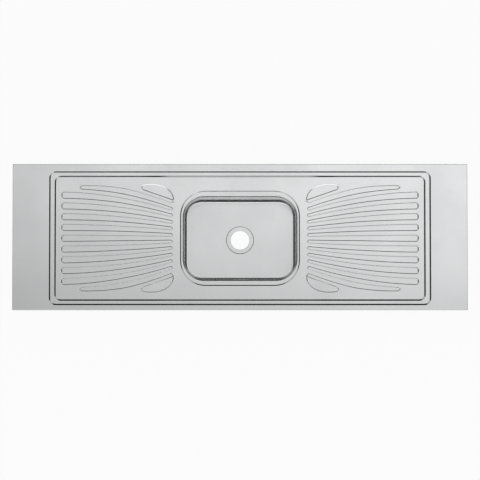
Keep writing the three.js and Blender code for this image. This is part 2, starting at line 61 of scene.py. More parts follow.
# ---- Camera ----
# The sink lies face up and is seen from 8 m above with a long lens, a little in front of straight
# above, so that the front apron just shows and the bowl's floor lies nearer the front of its rim.
CAMERA_DISTANCE = 8.0
CAMERA_LEAN = math.radians(2.7)
SENSOR = 0.036
VIEW_WIDTH = 1.687  # what the picture's 480 pixels span at the level of the border
VIEW_CENTRE_Y = -0.0104

border_level = cad_box[1].z
aim = Vector((0, VIEW_CENTRE_Y, border_level))
camera = bpy.data.objects.new("camera", bpy.data.cameras.new("camera"))
camera.data.sensor_width = SENSOR * 1000
camera.data.lens = SENSOR * 1000 * CAMERA_DISTANCE / VIEW_WIDTH
camera.data.clip_end = 100
camera.location = aim + CAMERA_DISTANCE * Vector((0, -math.sin(CAMERA_LEAN), math.cos(CAMERA_LEAN)))
camera.rotation_euler = (CAMERA_LEAN, 0, 0)
scene.collection.objects.link(camera)
scene.camera = camera


# ---- Light and floor ----
# One big soft light high overhead, brighter to the rear right and along its front, under a pale
# ceiling. The walls are pale low down and in the corners, with a dark band above, which the pressed
# slopes mirror as dark lines. The floor is matt white paper, and keeps a faint shadow.
def add_node(tree, kind, settings=None, **sockets):
    """Adds a shader node; an input is given by its label, or by i and its number."""
    made = tree.nodes.new("ShaderNode" + kind)
    for name, value in (settings or {}).items():
        setattr(made, name, value)
    for name, value in sockets.items():
        label = int(name[1:]) if name[1:].isdigit() else name.replace("_", " ")
        socket = made.inputs[label]
        if isinstance(value, bpy.types.NodeSocket):
            tree.links.new(value, socket)
        else:
            socket.default_value = value
    return made


def calculate(tree, operation, a, b=0.0, c=0.0):
    return add_node(tree, "Math", {"operation": operation}, i0=a, i1=b, i2=c).outputs[0]


def soft_step(tree, value, low, high, to_low=0.0, to_high=1.0):
    settings = {"interpolation_type": "SMOOTHSTEP"}
    made = add_node(tree, "MapRange", settings, Value=value, From_Min=low, From_Max=high,
                    To_Min=to_low, To_Max=to_high)
    return made.outputs["Result"]


SOFT_LIGHT_HEIGHT = 3.5  # above the border
SOFT_LIGHT_LOW = (-1.45, -3.50)  # its corners, as x and y
SOFT_LIGHT_HIGH = (1.55, 0.80)
SOFT_LIGHT_MIDDLE = 0.385  # radiance that it adds to the ceiling over the middle of the sink
SOFT_LIGHT_RISE = (0.147, 0.52)  # how much it grows per metre to the right and to the rear
SOFT_LIGHT_LEAST, SOFT_LIGHT_MOST = 0.10, 0.80
FRONT_LIGHT = 0.80  # added over the front part
FRONT_LIGHT_Y = (-1.10, -0.50)

softbox = bpy.data.lights.new("softbox", "AREA")
softbox.shape = "RECTANGLE"
softbox.size, softbox.size_y = (high - low for low, high in zip(SOFT_LIGHT_LOW, SOFT_LIGHT_HIGH))
softbox.energy = math.pi * softbox.size * softbox.size_y
softbox.use_nodes = True
fabric = softbox.node_tree
fabric.nodes.clear()
across = add_node(fabric, "SeparateXYZ", Vector=add_node(fabric, "NewGeometry").outputs["Parametric"])
glow = SOFT_LIGHT_MIDDLE
for axis, (low, high) in enumerate(zip(SOFT_LIGHT_LOW, SOFT_LIGHT_HIGH)):
    place = calculate(fabric, "MULTIPLY_ADD", across.outputs[axis], high - low, low)
    glow = calculate(fabric, "MULTIPLY_ADD", place, SOFT_LIGHT_RISE[axis], glow)
glow = calculate(fabric, "MAXIMUM", glow, SOFT_LIGHT_LEAST)
glow = calculate(fabric, "MINIMUM", glow, SOFT_LIGHT_MOST)
front = soft_step(fabric, place, FRONT_LIGHT_Y[0], FRONT_LIGHT_Y[1], FRONT_LIGHT, 0.0)
glow = calculate(fabric, "ADD", glow, front)
lamp = add_node(fabric, "Emission", Color=(1, 1, 1, 1), Strength=glow)
add_node(fabric, "OutputLight", Surface=lamp.outputs[0])
softbox_object = bpy.data.objects.new("softbox", softbox)
middle = [(low + high) / 2 for low, high in zip(SOFT_LIGHT_LOW, SOFT_LIGHT_HIGH)]
softbox_object.location = (*middle, border_level + SOFT_LIGHT_HEIGHT)
softbox_object.visible_camera = False
scene.collection.objects.link(softbox_object)

DARK_BAND = 0.03  # between the lower walls and the ceiling, opposite the sink's four sides
UPPER_LIGHT = 0.45  # the ceiling
CORNER_LIGHT = 0.55
LOW_LIGHT = 0.48  # the lower walls
LOW_LIGHT_TO_FRONT = 0.36  # and this much more towards the front
LOW_BAND = [math.sin(math.radians(angle)) for angle in (8, 18)]
UPPER_BAND = [math.sin(math.radians(angle)) for angle in (46, 52)]
CORNER_BAND = (0.55, 0.90)  # sine of twice the angle from the nearest side

world = bpy.data.worlds.new("studio")
scene.world = world
world.use_nodes = True
room = world.node_tree
room.nodes.clear()
direction = add_node(room, "SeparateXYZ", Vector=add_node(room, "TexCoord").outputs["Generated"]).outputs
low_walls = calculate(room, "MULTIPLY_ADD", direction["Y"], -LOW_LIGHT_TO_FRONT, LOW_LIGHT)
low_share = soft_step(room, direction["Z"], *LOW_BAND, 1.0, 0.0)
up_squared = calculate(room, "MULTIPLY", direction["Z"], direction["Z"])
level_squared = calculate(room, "SUBTRACT", 1.0, up_squared)
product = calculate(room, "ABSOLUTE", calculate(room, "MULTIPLY", direction["X"], direction["Y"]))
diagonal = calculate(room, "DIVIDE", calculate(room, "MULTIPLY", product, 2.0), level_squared)
corner_light = soft_step(room, diagonal, *CORNER_BAND, DARK_BAND, CORNER_LIGHT)
upper_share = soft_step(room, direction["Z"], *UPPER_BAND)
upper = add_node(room, "Mix", i0=upper_share, i2=corner_light, i3=UPPER_LIGHT).outputs[0]
radiance = add_node(room, "Mix", i0=low_share, i2=upper, i3=low_walls).outputs[0]
direct = add_node(room, "LightPath").outputs["Is Camera Ray"]
shown = add_node(room, "Mix", i0=direct, i2=radiance, i3=1.0).outputs[0]
background = add_node(room, "Background", Color=(1, 1, 1, 1), Strength=shown)
add_node(room, "OutputWorld", Surface=background.outputs[0])

FLOOR_HALF = 60.0
FLOOR_GAP = 0.0005
PAPER = 0.97
PAPER_GLOW = 0.94  # share of the paper that shows without shadow

paper = bpy.data.materials.new("white_paper")
paper.use_nodes = True
tree = paper.node_tree
tree.nodes.clear()
path = add_node(tree, "LightPath")
seen = calculate(tree, "MAXIMUM", path.outputs["Is Camera Ray"], path.outputs["Is Glossy Ray"])
seen = calculate(tree, "MAXIMUM", seen, path.outputs["Is Transmission Ray"])
matt = add_node(tree, "BsdfDiffuse", Color=(PAPER, PAPER, PAPER, 1))
glow = add_node(tree, "Emission", Color=(1, 1, 1, 1), Strength=1.0)
share = calculate(tree, "MULTIPLY", seen, PAPER_GLOW)
lit = add_node(tree, "MixShader", i0=share, i1=matt.outputs[0], i2=glow.outputs[0])
under = calculate(tree, "MULTIPLY", add_node(tree, "NewGeometry").outputs["Backfacing"],
                  path.outputs["Is Camera Ray"])
clear = add_node(tree, "BsdfTransparent")
sheet_of_paper = add_node(tree, "MixShader", i0=under, i1=lit.outputs[0], i2=clear.outputs[0])
add_node(tree, "OutputMaterial", Surface=sheet_of_paper.outputs[0])

corners = [(-1, -1), (1, -1), (1, 1), (-1, 1)]
floor_mesh = bpy.data.meshes.new("floor")
floor_corners = [(x * FLOOR_HALF, y * FLOOR_HALF, -FLOOR_GAP) for x, y in corners]
floor_mesh.from_pydata(floor_corners, [], [(0, 1, 2, 3)])
floor_mesh.materials.append(paper)
floor = bpy.data.objects.new("floor", floor_mesh)
scene.collection.objects.link(floor)

# ---- Pressed sheet ----
# One sheet of 1 mm stainless steel: a flat border and wings, two steps down, a fluted drainboard
# on each side of the bowl, and an edge folded down all round with a lip turned in. It is pressed
# between dies, so that every edge is a soft bend, wider where it turns down than where it lands.
SHEET = 0.001
sheet_low, sheet_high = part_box("deck")
HALF_LENGTH, HALF_DEPTH = sheet_high.x, sheet_high.y
OUTLINE_RADIUS = 0.0015
FRONT_BORDER, REAR_BORDER, WING = 0.020, 0.0275, 0.131
PANEL_Y = (FRONT_BORDER - REAR_BORDER) / 2
STEP_DROP = 0.003
LEDGE_AT_ENDS, LEDGE_ALONG_SIDES = 0.019, 0.0155
FIRST_STEP = (HALF_LENGTH - WING, HALF_DEPTH - (FRONT_BORDER + REAR_BORDER) / 2, 0.022)
SECOND_STEP = (FIRST_STEP[0] - LEDGE_AT_ENDS, FIRST_STEP[1] - LEDGE_ALONG_SIDES, 0.020)
RIM = (0.208, 0.165, 0.086)  # the bowl's opening
BOARD_FALL = 0.002
ledge_level = border_level - STEP_DROP
board_level = ledge_level - STEP_DROP
low_board_level = board_level - BOARD_FALL

BOARD_FALL_FROM = 0.35
GROOVE_OUTER_X, GROOVE_INNER_X, SHORT_GROOVE_X = 0.627, 0.239, 0.562
GROOVES_EACH_SIDE = 5
OUTER_PITCH, INNER_PITCH = 0.038, 0.0228
EARLY_TURN = 0.08
RIDGE_WIDTH = (0.010, 0.0160)  # at the bowl, and from RIDGE_WIDE_FROM outwards
RIDGE_WIDE_FROM = 0.42
GROOVE_END_RADIUS = 0.008
OUTERMOST_EXTRA = 0.0025
TURN_IN_FROM, TURN_IN_SHIFT, TURN_IN_NARROWING, TURN_IN_GROWTH = 0.400, 0.009, 0.006, 1.2

PATH_STEP = 0.010
CORNER_STEPS = 10
FREE_POINT_STEP = 0.012
QUARTERS = ((1, 1), (-1, 1), (-1, -1), (1, -1))  # signs of x and y, anticlockwise round the middle
SHARP_CORNER = 0.0002  # radius where the outline's corners are as good as sharp
FLAT_FROM_STEP = 0.0045  # from the middle of a step's slope to the flat beside it


def rounded_rectangle(half_x, half_y, radius, grow=0.0, centre_y=PANEL_Y):
    """Points round a rectangle with round corners, and the outward direction at each."""
    points, outward = [], []
    sides = (half_x - radius, half_y - radius)
    for corner, (sign_x, sign_y) in enumerate(QUARTERS):
        centre = Vector((sign_x * (half_x - radius), centre_y + sign_y * (half_y - radius)))
        for i in range(CORNER_STEPS + 1):
            angle = (corner + i / CORNER_STEPS) * math.pi / 2
            out = Vector((math.cos(angle), math.sin(angle)))
            points.append(centre + out * (radius + grow))
            outward.append(out)
        straight = 2 * sides[corner % 2]
        pieces = max(1, round(straight / PATH_STEP))
        along = Vector((-outward[-1].y, outward[-1].x)) * straight / pieces
        for i in range(1, pieces):
            points.append(points[-1] + along)
            outward.append(outward[-1])
    return points, outward


def bend_profile(drop, lean, top_bend, foot_bend, steps=4):
    """(distance from the middle of the slope, share of the drop left) from the top to the foot."""
    angle = math.radians(lean)
    straight = (drop - (top_bend + foot_bend) * (1 - math.cos(angle))) / math.tan(angle)
    width = (top_bend + foot_bend) * math.sin(angle) + straight
    rows = []
    for i in range(steps + 1):
        turn = angle * i / steps
        rows.append((top_bend * math.sin(turn), drop - top_bend * (1 - math.cos(turn))))
    for i in range(steps, -1, -1):
        turn = angle * i / steps
        rows.append((width - foot_bend * math.sin(turn), foot_bend * (1 - math.cos(turn))))
    return [(width / 2 - across, left / drop) for across, left in rows]


class Pressing:
    """Contour lines of the pressed sheet, seen from above, each point with its height."""

    def __init__(self):
        self.plan, self.heights, self.lines = [], [], []

    def line(self, points, heights, closed):
        first = len(self.plan)
        self.plan.extend(points)
        self.heights.extend(heights)
        last = len(self.plan) - 1
        self.lines.extend((i, i + 1) for i in range(first, last))
        if closed:
            self.lines.append((last, first))
        return range(first, last + 1)

    def point(self, place, height):
        self.plan.append(place)
        self.heights.append(height)

    def edge(self, points, uphill, highs, lows, profile, closed=True):
        """A pressed edge: rows of contours across a path, from its high side to its low side."""
        for across, share in profile:
            row = [p + up * across for p, up in zip(points, uphill)]
            levels = [low + (high - low) * share for high, low in zip(highs, lows)]
            self.line(row, levels, closed)


def board_height(x):
    """Level of the flat sheet at x, falling softly towards the bowl."""
    way = (BOARD_FALL_FROM - abs(x)) / (BOARD_FALL_FROM - GROOVE_INNER_X)
    way = min(max(way, 0.0), 1.0)
    return board_level - BOARD_FALL * way * way * (3 - 2 * way)


def pitch(x):
    way = (GROOVE_OUTER_X - x) / (GROOVE_OUTER_X - GROOVE_INNER_X)
    closed = EARLY_TURN * way + (1 - EARLY_TURN) * way * way
    return OUTER_PITCH - (OUTER_PITCH - INNER_PITCH) * closed


def ridge_width(x):
    way = min(max((x - GROOVE_INNER_X) / (RIDGE_WIDE_FROM - GROOVE_INNER_X), 0.0), 1.0)
    return RIDGE_WIDTH[0] + (RIDGE_WIDTH[1] - RIDGE_WIDTH[0]) * way


def groove_edge(number, side, x):
    """Y of the front (-1) or rear (1) edge of a groove of the right-hand board."""
    middle, half = number * pitch(x), (pitch(x) - ridge_width(x)) / 2
    if abs(number) == GROOVES_EACH_SIDE:
        turned = (max(0.0, x - TURN_IN_FROM) / (SHORT_GROOVE_X - TURN_IN_FROM)) ** TURN_IN_GROWTH
        middle += math.copysign(1, number) * (OUTERMOST_EXTRA / 2 - TURN_IN_SHIFT * turned)
        half += OUTERMOST_EXTRA / 2 - TURN_IN_NARROWING * turned
    return PANEL_Y + middle + side * half


pressing = Pressing()

# The two steps and the rim of the bowl's opening.
STEP_SLANT, STEP_BEND, STEP_FOOT_BEND = 28, 0.0022, 0.0020
step_profile = bend_profile(STEP_DROP, STEP_SLANT, STEP_BEND, STEP_FOOT_BEND)
path, outward = rounded_rectangle(*FIRST_STEP)
pressing.edge(path, outward, [border_level] * len(path), [ledge_level] * len(path), step_profile)
path, outward = rounded_rectangle(*SECOND_STEP)
pressing.edge(path, outward, [ledge_level] * len(path), [board_height(p.x) for p in path], step_profile)

# The outline, where the sheet starts to turn down, and the flat just inside it.
EDGE_BEND = 0.0015
FLAT_MARGIN = 0.0015
for inset in (FLAT_MARGIN + EDGE_BEND, EDGE_BEND):
    size = (HALF_LENGTH - inset, HALF_DEPTH - inset, SHARP_CORNER)
    path, outward = rounded_rectangle(*size, centre_y=0.0)
    outline_row = pressing.line(path, [border_level] * len(path), True)

# The rim: the sheet turns down onto the bowl's flange, at a slightly milder slant than the steps.
RIM_DROP, RIM_SLANT, RIM_BEND, RIM_FOOT_BEND = 0.0028, 25.5, 0.0014, 0.0008
rim_profile = bend_profile(RIM_DROP, RIM_SLANT, RIM_BEND, RIM_FOOT_BEND)
mouth_level = low_board_level - RIM_DROP
path, outward = rounded_rectangle(*RIM, grow=0.0)
pressing.edge(path, outward, [low_board_level] * len(path), [mouth_level] * len(path), rim_profile[:-1])
path, outward = rounded_rectangle(*RIM, grow=rim_profile[-1][0])
rim_row = pressing.line(path, [mouth_level] * len(path), True)
FLAT_FROM_RIM = 0.006
path, _ = rounded_rectangle(*RIM, grow=FLAT_FROM_RIM)
pressing.line(path, [low_board_level] * len(path), True)


# A groove's outline runs out along its front edge, round its end and back, then round the inner end
# of the ridge behind it, so that all the edges of a drainboard are one winding path.
GROOVE_DEPTH = BOARD_FALL
GROOVE_SLANT, GROOVE_BEND, GROOVE_FOOT_BEND = 41, 0.0011, 0.0008
groove_profile = bend_profile(GROOVE_DEPTH, GROOVE_SLANT, GROOVE_BEND, GROOVE_FOOT_BEND, steps=3)
END_STEPS = 10
END_WALL_WIDTH = 1.9  # of the other walls' width: a milder slope at a groove's outer end
GROOVE_STEPS = 38
RIDGE_END_RADIUS = RIDGE_WIDTH[0] / 2
RIDGE_END_X = GROOVE_INNER_X - 0.001
GROOVE_FLAT_END = 0.006  # where the middle line of a groove's floor stops short of its end
ridge_start = RIDGE_END_X + RIDGE_END_RADIUS


def arc(centre, radius, start, end, steps):
    """Points round an arc, with the direction away from its centre at each; angles in degrees."""
    found = []
    for i in range(steps + 1):
        angle = math.radians(start + (end - start) * i / steps)
        away = Vector((math.cos(angle), math.sin(angle)))
        found.append((centre + radius * away, away))
    return found


def winding_path():
    """The right-hand board's path, with the uphill direction at each point, longer on milder slopes."""
    found = []
    for number in range(-GROOVES_EACH_SIDE, GROOVES_EACH_SIDE + 1):
        end_x = SHORT_GROOVE_X if abs(number) == GROOVES_EACH_SIDE else GROOVE_OUTER_X
        cap_x = end_x - GROOVE_END_RADIUS
        front, rear = (groove_edge(number, side, ridge_start) for side in (-1, 1))
        if number == -GROOVES_EACH_SIDE:
            centre = Vector((ridge_start, front - RIDGE_END_RADIUS))
            start = arc(centre, RIDGE_END_RADIUS, 180, 90, END_STEPS // 2)
            found += [(p, -away) for p, away in start[:-1]]
        xs = [ridge_start + (cap_x - ridge_start) * i / GROOVE_STEPS for i in range(GROOVE_STEPS + 1)]
        found += [(Vector((x, groove_edge(number, -1, x))), Vector((0, -1))) for x in xs]
        ends = [groove_edge(number, side, cap_x) - side * GROOVE_END_RADIUS for side in (-1, 1)]
        end_wall = arc(Vector((cap_x, ends[0])), GROOVE_END_RADIUS, -90, 0, END_STEPS // 2)[1:]
        end_wall += arc(Vector((cap_x, ends[1])), GROOVE_END_RADIUS, 0, 90, END_STEPS // 2)[:-1]
        found += [(p, away * (1 + (END_WALL_WIDTH - 1) * away.x ** 2)) for p, away in end_wall]
        found += [(Vector((x, groove_edge(number, 1, x))), Vector((0, 1))) for x in reversed(xs)]
        if number < GROOVES_EACH_SIDE:
            half = (groove_edge(number + 1, -1, ridge_start) - rear) / 2
            ridge_end = arc(Vector((ridge_start, rear + half)), half, 270, 90, END_STEPS)
        else:
            centre = Vector((ridge_start, rear + RIDGE_END_RADIUS))
            ridge_end = arc(centre, RIDGE_END_RADIUS, 270, 180, END_STEPS // 2) + [None]
        found += [(p, -away) for p, away in ridge_end[1:-1]]
    return found


board_path = winding_path()
for side in (-1, 1):
    path = [Vector((side * p.x, p.y)) for p, _ in board_path]
    uphill = [Vector((side * up.x, up.y)) for _, up in board_path]
    highs = [board_level] * len(path)
    lows = [low_board_level] * len(path)
    pressing.edge(path, uphill, highs, lows, groove_profile, closed=False)
    for number in range(-GROOVES_EACH_SIDE, GROOVES_EACH_SIDE + 1):
        end_x = SHORT_GROOVE_X if abs(number) == GROOVES_EACH_SIDE else GROOVE_OUTER_X
        end_x -= GROOVE_FLAT_END
        for i in range(GROOVE_STEPS + 1):
            x = ridge_start + (end_x - ridge_start) * i / GROOVE_STEPS
            rear, front = groove_edge(number, 1, x), groove_edge(number, -1, x)
            pressing.point(Vector((side * x, (rear + front) / 2)), low_board_level)
            if number < GROOVES_EACH_SIDE and x < SHORT_GROOVE_X - GROOVE_FLAT_END:
                ridge_y = (rear + groove_edge(number + 1, -1, x)) / 2
                pressing.point(Vector((side * x, ridge_y)), board_level)

# Half-moon pockets near the bowl's four corners, each beside an outermost ridge.
POCKET_DEPTH = 0.0013
POCKET_END, POCKET_END_RADIUS = Vector((0.3365, 0.1793)), 0.009
POCKET_TIP, POCKET_TIP_RADIUS = Vector((0.237, 0.1385)), 0.003
POCKET_TIP_FROM = 170  # degrees
POCKET_BULGE, POCKET_SWELL = 0.056, 0.008
POCKET_LEAD = Vector((0.002, 0.037))
POCKET_MIDDLE = (0.285, 0.170)
POCKET_STEPS = 18
BULGE_MILDER = 1.3  # extra width of the round wall at its widest, as a share of the straight one's
POCKET_SLANT, POCKET_BEND, POCKET_FOOT_BEND = 30, 0.0016, 0.0012
TOWARDS_FAN_FROM, TOWARDS_FAN_OVER = 0.5, 0.35
pocket_profile = bend_profile(POCKET_DEPTH, POCKET_SLANT, POCKET_BEND, POCKET_FOOT_BEND, steps=3)


def half_moon():
    """Points round the right-hand rear pocket, and how mild its wall is at each."""
    rise = POCKET_END.y - POCKET_END_RADIUS - POCKET_TIP.y + POCKET_TIP_RADIUS
    inner = math.degrees(math.atan2(rise, POCKET_END.x - POCKET_TIP.x)) - 90
    end = [p for p, _ in arc(POCKET_END, POCKET_END_RADIUS, inner, 90, END_STEPS)]
    tip = [p for p, _ in arc(POCKET_TIP, POCKET_TIP_RADIUS, POCKET_TIP_FROM, inner + 360, END_STEPS)]
    a, d = end[-1], tip[0]
    b = Vector((POCKET_END.x - POCKET_BULGE, a.y + POCKET_SWELL))
    c = POCKET_TIP + POCKET_LEAD
    bulge = []
    for i in range(1, POCKET_STEPS):
        t = i / POCKET_STEPS
        bulge.append(a * (1 - t) ** 3 + b * 3 * t * (1 - t) ** 2 + c * 3 * t * t * (1 - t) + d * t ** 3)
    straight = [tip[-1].lerp(end[0], i / POCKET_STEPS) for i in range(1, POCKET_STEPS)]
    milder = [(i / len(end)) ** 2 for i in range(1, len(end) + 1)]
    milder += [math.cos(math.pi / 2 * (i / POCKET_STEPS) ** 2) for i in range(1, POCKET_STEPS)]
    milder += [0.0] * (len(tip) + len(straight))
    return end + bulge + tip + straight, milder


def outward_of(points):
    """Outward direction at each point of a closed path that runs anticlockwise."""
    found = []
    for i in range(len(points)):
        along = points[(i + 1) % len(points)] - points[i - 1]
        found.append(Vector((along.y, -along.x)).normalized())
    return found


def outside_pocket(point, towards_fan):
    """The pocket's straight edge is the side of the outermost ridge, level with the other ridges."""
    plane = board_height(point.x)
    share = min(max((towards_fan - TOWARDS_FAN_FROM) / TOWARDS_FAN_OVER, 0.0), 1.0)
    return plane + (board_level - plane) * share


moon, milder = half_moon()
moon_out = outward_of(moon)
for side in (-1, 1):
    for end in (-1, 1):
        path = [Vector((side * p.x, PANEL_Y + end * p.y)) for p in moon]
        out = [Vector((side * o.x, end * o.y)) for o in moon_out]
        highs = [outside_pocket(p, -o.y * end) for p, o in zip(path, out)]
        lows = [board_height(p.x) - POCKET_DEPTH for p in path]
        uphill = [o * (1 + BULGE_MILDER * mild) for o, mild in zip(out, milder)]
        pressing.edge(path, uphill, highs, lows, pocket_profile)
        middle = Vector((side * POCKET_MIDDLE[0], PANEL_Y + end * POCKET_MIDDLE[1]))
        inner = [p.lerp(middle, 0.5) for p in path[::3]]
        pressing.line(inner, [board_height(p.x) - POCKET_DEPTH for p in inner], True)


def inside(point, box, margin):
    """Whether a point lies within a rounded rectangle grown by margin."""
    half_x, half_y, radius = box
    away = Vector((abs(point.x) - half_x + radius, abs(point.y - PANEL_Y) - half_y + radius))
    beyond = Vector((max(away.x, 0), max(away.y, 0))).length + min(max(away.x, away.y), 0)
    return beyond < radius + margin


CLEAR_INSIDE_FAN = 0.006  # from the grooves' inner ends towards the bowl


def in_fan(point, margin):
    x = abs(point.x)
    if not GROOVE_INNER_X - CLEAR_INSIDE_FAN < x < GROOVE_OUTER_X + margin:
        return False
    number = GROOVES_EACH_SIDE if x < SHORT_GROOVE_X + margin else GROOVES_EACH_SIDE - 1
    edge_x = min(max(x, GROOVE_INNER_X), SHORT_GROOVE_X if number == GROOVES_EACH_SIDE else GROOVE_OUTER_X)
    reach = groove_edge(number, 1, edge_x) - PANEL_Y
    if x < POCKET_END.x:
        reach += RIDGE_WIDTH[1]
    return abs(point.y - PANEL_Y) < reach + margin


# Corners of a box round the right-hand rear pocket, measured from the bowl's middle.
POCKET_LOW = POCKET_TIP - Vector((0.005, 0.010))
POCKET_HIGH = Vector((POCKET_END.x + POCKET_END_RADIUS, 0.190))


def in_pocket(point, margin):
    x, y = abs(point.x), abs(point.y - PANEL_Y)
    beside = POCKET_LOW.x - margin < x < POCKET_HIGH.x + margin
    return beside and POCKET_LOW.y < y < POCKET_HIGH.y + margin


# Free points on the flats keep clear of every pressed edge.
CLEAR_OF_STEP, CLEAR_OF_RIM, CLEAR_OF_GROOVES = 0.007, 0.008, 0.006
CLEAR_OF_POCKET, CLEAR_OF_OUTLINE = 0.008, 0.006

count_x, count_y = int(HALF_LENGTH / FREE_POINT_STEP), int(HALF_DEPTH / FREE_POINT_STEP)
for i in range(-count_x, count_x + 1):
    for j in range(-count_y, count_y + 1):
        p = Vector((i * FREE_POINT_STEP, j * FREE_POINT_STEP))
        if inside(p, RIM, CLEAR_OF_RIM) or in_fan(p, CLEAR_OF_GROOVES) or in_pocket(p, CLEAR_OF_POCKET):
            continue
        in_outline = abs(p.x) < HALF_LENGTH - CLEAR_OF_OUTLINE and abs(p.y) < HALF_DEPTH - CLEAR_OF_OUTLINE
        if inside(p, SECOND_STEP, -CLEAR_OF_STEP):
            pressing.point(p, board_height(p.x))
        elif in_outline and not inside(p, FIRST_STEP, CLEAR_OF_STEP):
            pressing.point(p, border_level)
for box, level, margin in (
    (FIRST_STEP, border_level, FLAT_FROM_STEP),
    (FIRST_STEP, ledge_level, -FLAT_FROM_STEP),
    (SECOND_STEP, ledge_level, FLAT_FROM_STEP),
):
    path, _ = rounded_rectangle(*box, grow=margin)
    pressing.line(path, [level] * len(path), True)
path, _ = rounded_rectangle(*SECOND_STEP, grow=-FLAT_FROM_STEP)
pressing.line(path, [board_height(p.x) for p in path], True)

# A point where two contour lines cross has no source, and takes the level of the grooves' floor.
SAME_POINT = 1e-7
plan, _, triangles, sources, _, _ = delaunay_2d_cdt(pressing.plan, pressing.lines, [], 0, SAME_POINT)
levels = [pressing.heights[source[0]] if source else low_board_level for source in sources]
rim_points = set(rim_row)
on_rim = [any(s in rim_points for s in source) for source in sources]
sheet_faces = [t for t in triangles if not all(on_rim[i] for i in t)]
sheet_points = [(p.x, p.y, level) for p, level in zip(plan, levels)]

index_of = {}
for i, source in enumerate(sources):
    for s in source:
        index_of[s] = i


def turn_down(row, rings):
    """Adds rings of points below a row of the pressing, and the faces between them."""
    last = [index_of[i] for i in row]
    for ring in rings:
        new = list(range(len(sheet_points), len(sheet_points) + len(ring)))
        sheet_points.extend(ring)
        count = len(new)
        for i in range(count):
            j = (i + 1) % count
            sheet_faces.append((last[i], new[i], new[j], last[j]))
        last = new


LIP = 0.010
APRON_FLAT = 0.002  # a ring this far from each bend keeps the apron flat
turns = [math.radians(degrees) for degrees in (0, 15, 30, 45, 60, 75, 90)]
upper_bend = [(1 - math.sin(turn), 1 - math.cos(turn)) for turn in turns[1:]]
lower_bend = [(1 - math.cos(turn), 1 - math.sin(turn)) for turn in turns]
section = [(EDGE_BEND * across, border_level - EDGE_BEND * down) for across, down in upper_bend]
section.append((0.0, border_level - EDGE_BEND - APRON_FLAT))
section.append((0.0, sheet_low.z + EDGE_BEND + APRON_FLAT))
section += [(EDGE_BEND * across, sheet_low.z + EDGE_BEND * up) for across, up in lower_bend]
section.append((LIP, sheet_low.z))
apron_rings = []
for inset, level in section:
    size = (HALF_LENGTH - inset, HALF_DEPTH - inset, max(OUTLINE_RADIUS - inset, SHARP_CORNER))
    ring, _ = rounded_rectangle(*size, centre_y=0.0)
    apron_rings.append([(p.x, p.y, level) for p in ring])
turn_down(outline_row, apron_rings)


def new_piece(name, points, faces, finish, thickness=None):
    """Adds a smooth mesh object; thickness makes sheet of an open skin, against its normals."""
    mesh = bpy.data.meshes.new(name)
    mesh.from_pydata(points, [], faces)
    mesh.validate()
    mesh.shade_smooth()
    mesh.materials.append(finish)
    piece = bpy.data.objects.new(name, mesh)
    scene.collection.objects.link(piece)
    if thickness:
        wall = piece.modifiers.new("sheet thickness", "SOLIDIFY")
        wall.thickness = thickness
        wall.offset = -1
    shading = piece.modifiers.new("flat areas stay flat", "WEIGHTED_NORMAL")
    shading.mode = "FACE_AREA_WITH_ANGLE"
    return piece


def new_group(name, inputs, output):
    """A shader node group with named inputs and one named value out."""
    group = bpy.data.node_groups.new(name, "ShaderNodeTree")
    for label, kind, value in inputs:
        socket = group.interface.new_socket(label, in_out="INPUT", socket_type="NodeSocket" + kind)
        socket.default_value = value
    group.interface.new_socket(output, in_out="OUTPUT", socket_type="NodeSocketFloat")
    given = group.nodes.new("NodeGroupInput")
    result = group.nodes.new("NodeGroupOutput")
    return group, given.outputs, result.inputs[0]


def place_group(tree, group, **values):
    """Places a node group in a material, at the surface's own place unless told otherwise."""
    made = tree.nodes.new("ShaderNodeGroup")
    made.node_tree = group
    tree.links.new(add_node(tree, "TexCoord").outputs["Object"], made.inputs["Place"])
    for label, value in values.items():
        made.inputs[label].default_value = value
    return made.outputs[0]


# Fine lines left by a belt or a roller, long in one direction.
TIMES = {"operation": "MULTIPLY"}
inputs = (("Place", "Vector", (0, 0, 0)), ("Lines", "Vector", (1, 1, 1)))
grain, given, result = new_group("rolled_grain", inputs, "Grain")
stretched = add_node(grain, "VectorMath", TIMES, i0=given["Place"], i1=given["Lines"])
lines = add_node(grain, "TexNoise", Vector=stretched.outputs[0], Scale=1.0, Detail=3.0, Roughness=0.65)
grain.links.new(lines.outputs[0], result)

# Soft uneven patches, such as wiped water marks, weathering or uneven dye.
inputs = (("Place", "Vector", (0, 0, 0)), ("Scale", "Float", 4.0), ("Detail", "Float", 3.0))
patches, given, result = new_group("soft_patches", inputs, "Patch")
clouds = add_node(patches, "TexNoise", Vector=given["Place"], Scale=given["Scale"], Detail=given["Detail"])
spread = soft_step(patches, clouds.outputs[0], 0.3, 0.7)
patches.links.new(spread, result)

# Sparse hairline scratches: thin bends of two long noises that cross at an angle.
LEVEL_TURN = {"rotation_type": "Z_AXIS"}
SCRATCH_STRETCH = (0.35, 1.6, 1.0)
inputs = (("Place", "Vector", (0, 0, 0)), ("Scale", "Float", 9.0), ("Width", "Float", 0.004))
scratches, given, result = new_group("hairline_scratches", inputs, "Scratch")
found = None
for turn in (0.5, 2.2):
    turned = add_node(scratches, "VectorRotate", LEVEL_TURN, Vector=given["Place"], Angle=turn)
    longer = add_node(scratches, "VectorMath", TIMES, i0=turned.outputs[0], i1=SCRATCH_STRETCH)
    bends = add_node(scratches, "TexNoise", Vector=longer.outputs[0], Scale=given["Scale"], Detail=1.0)
    off = calculate(scratches, "ABSOLUTE", calculate(scratches, "SUBTRACT", bends.outputs[0], 0.5))
    thin = calculate(scratches, "LESS_THAN", off, given["Width"])
    gate_scale = calculate(scratches, "MULTIPLY", given["Scale"], 2.3)
    gate = add_node(scratches, "TexNoise", Vector=turned.outputs[0], Scale=gate_scale, Detail=0.0)
    rare = calculate(scratches, "MULTIPLY", thin, soft_step(scratches, gate.outputs[0], 0.60, 0.66))
    found = rare if found is None else calculate(scratches, "MAXIMUM", found, rare)
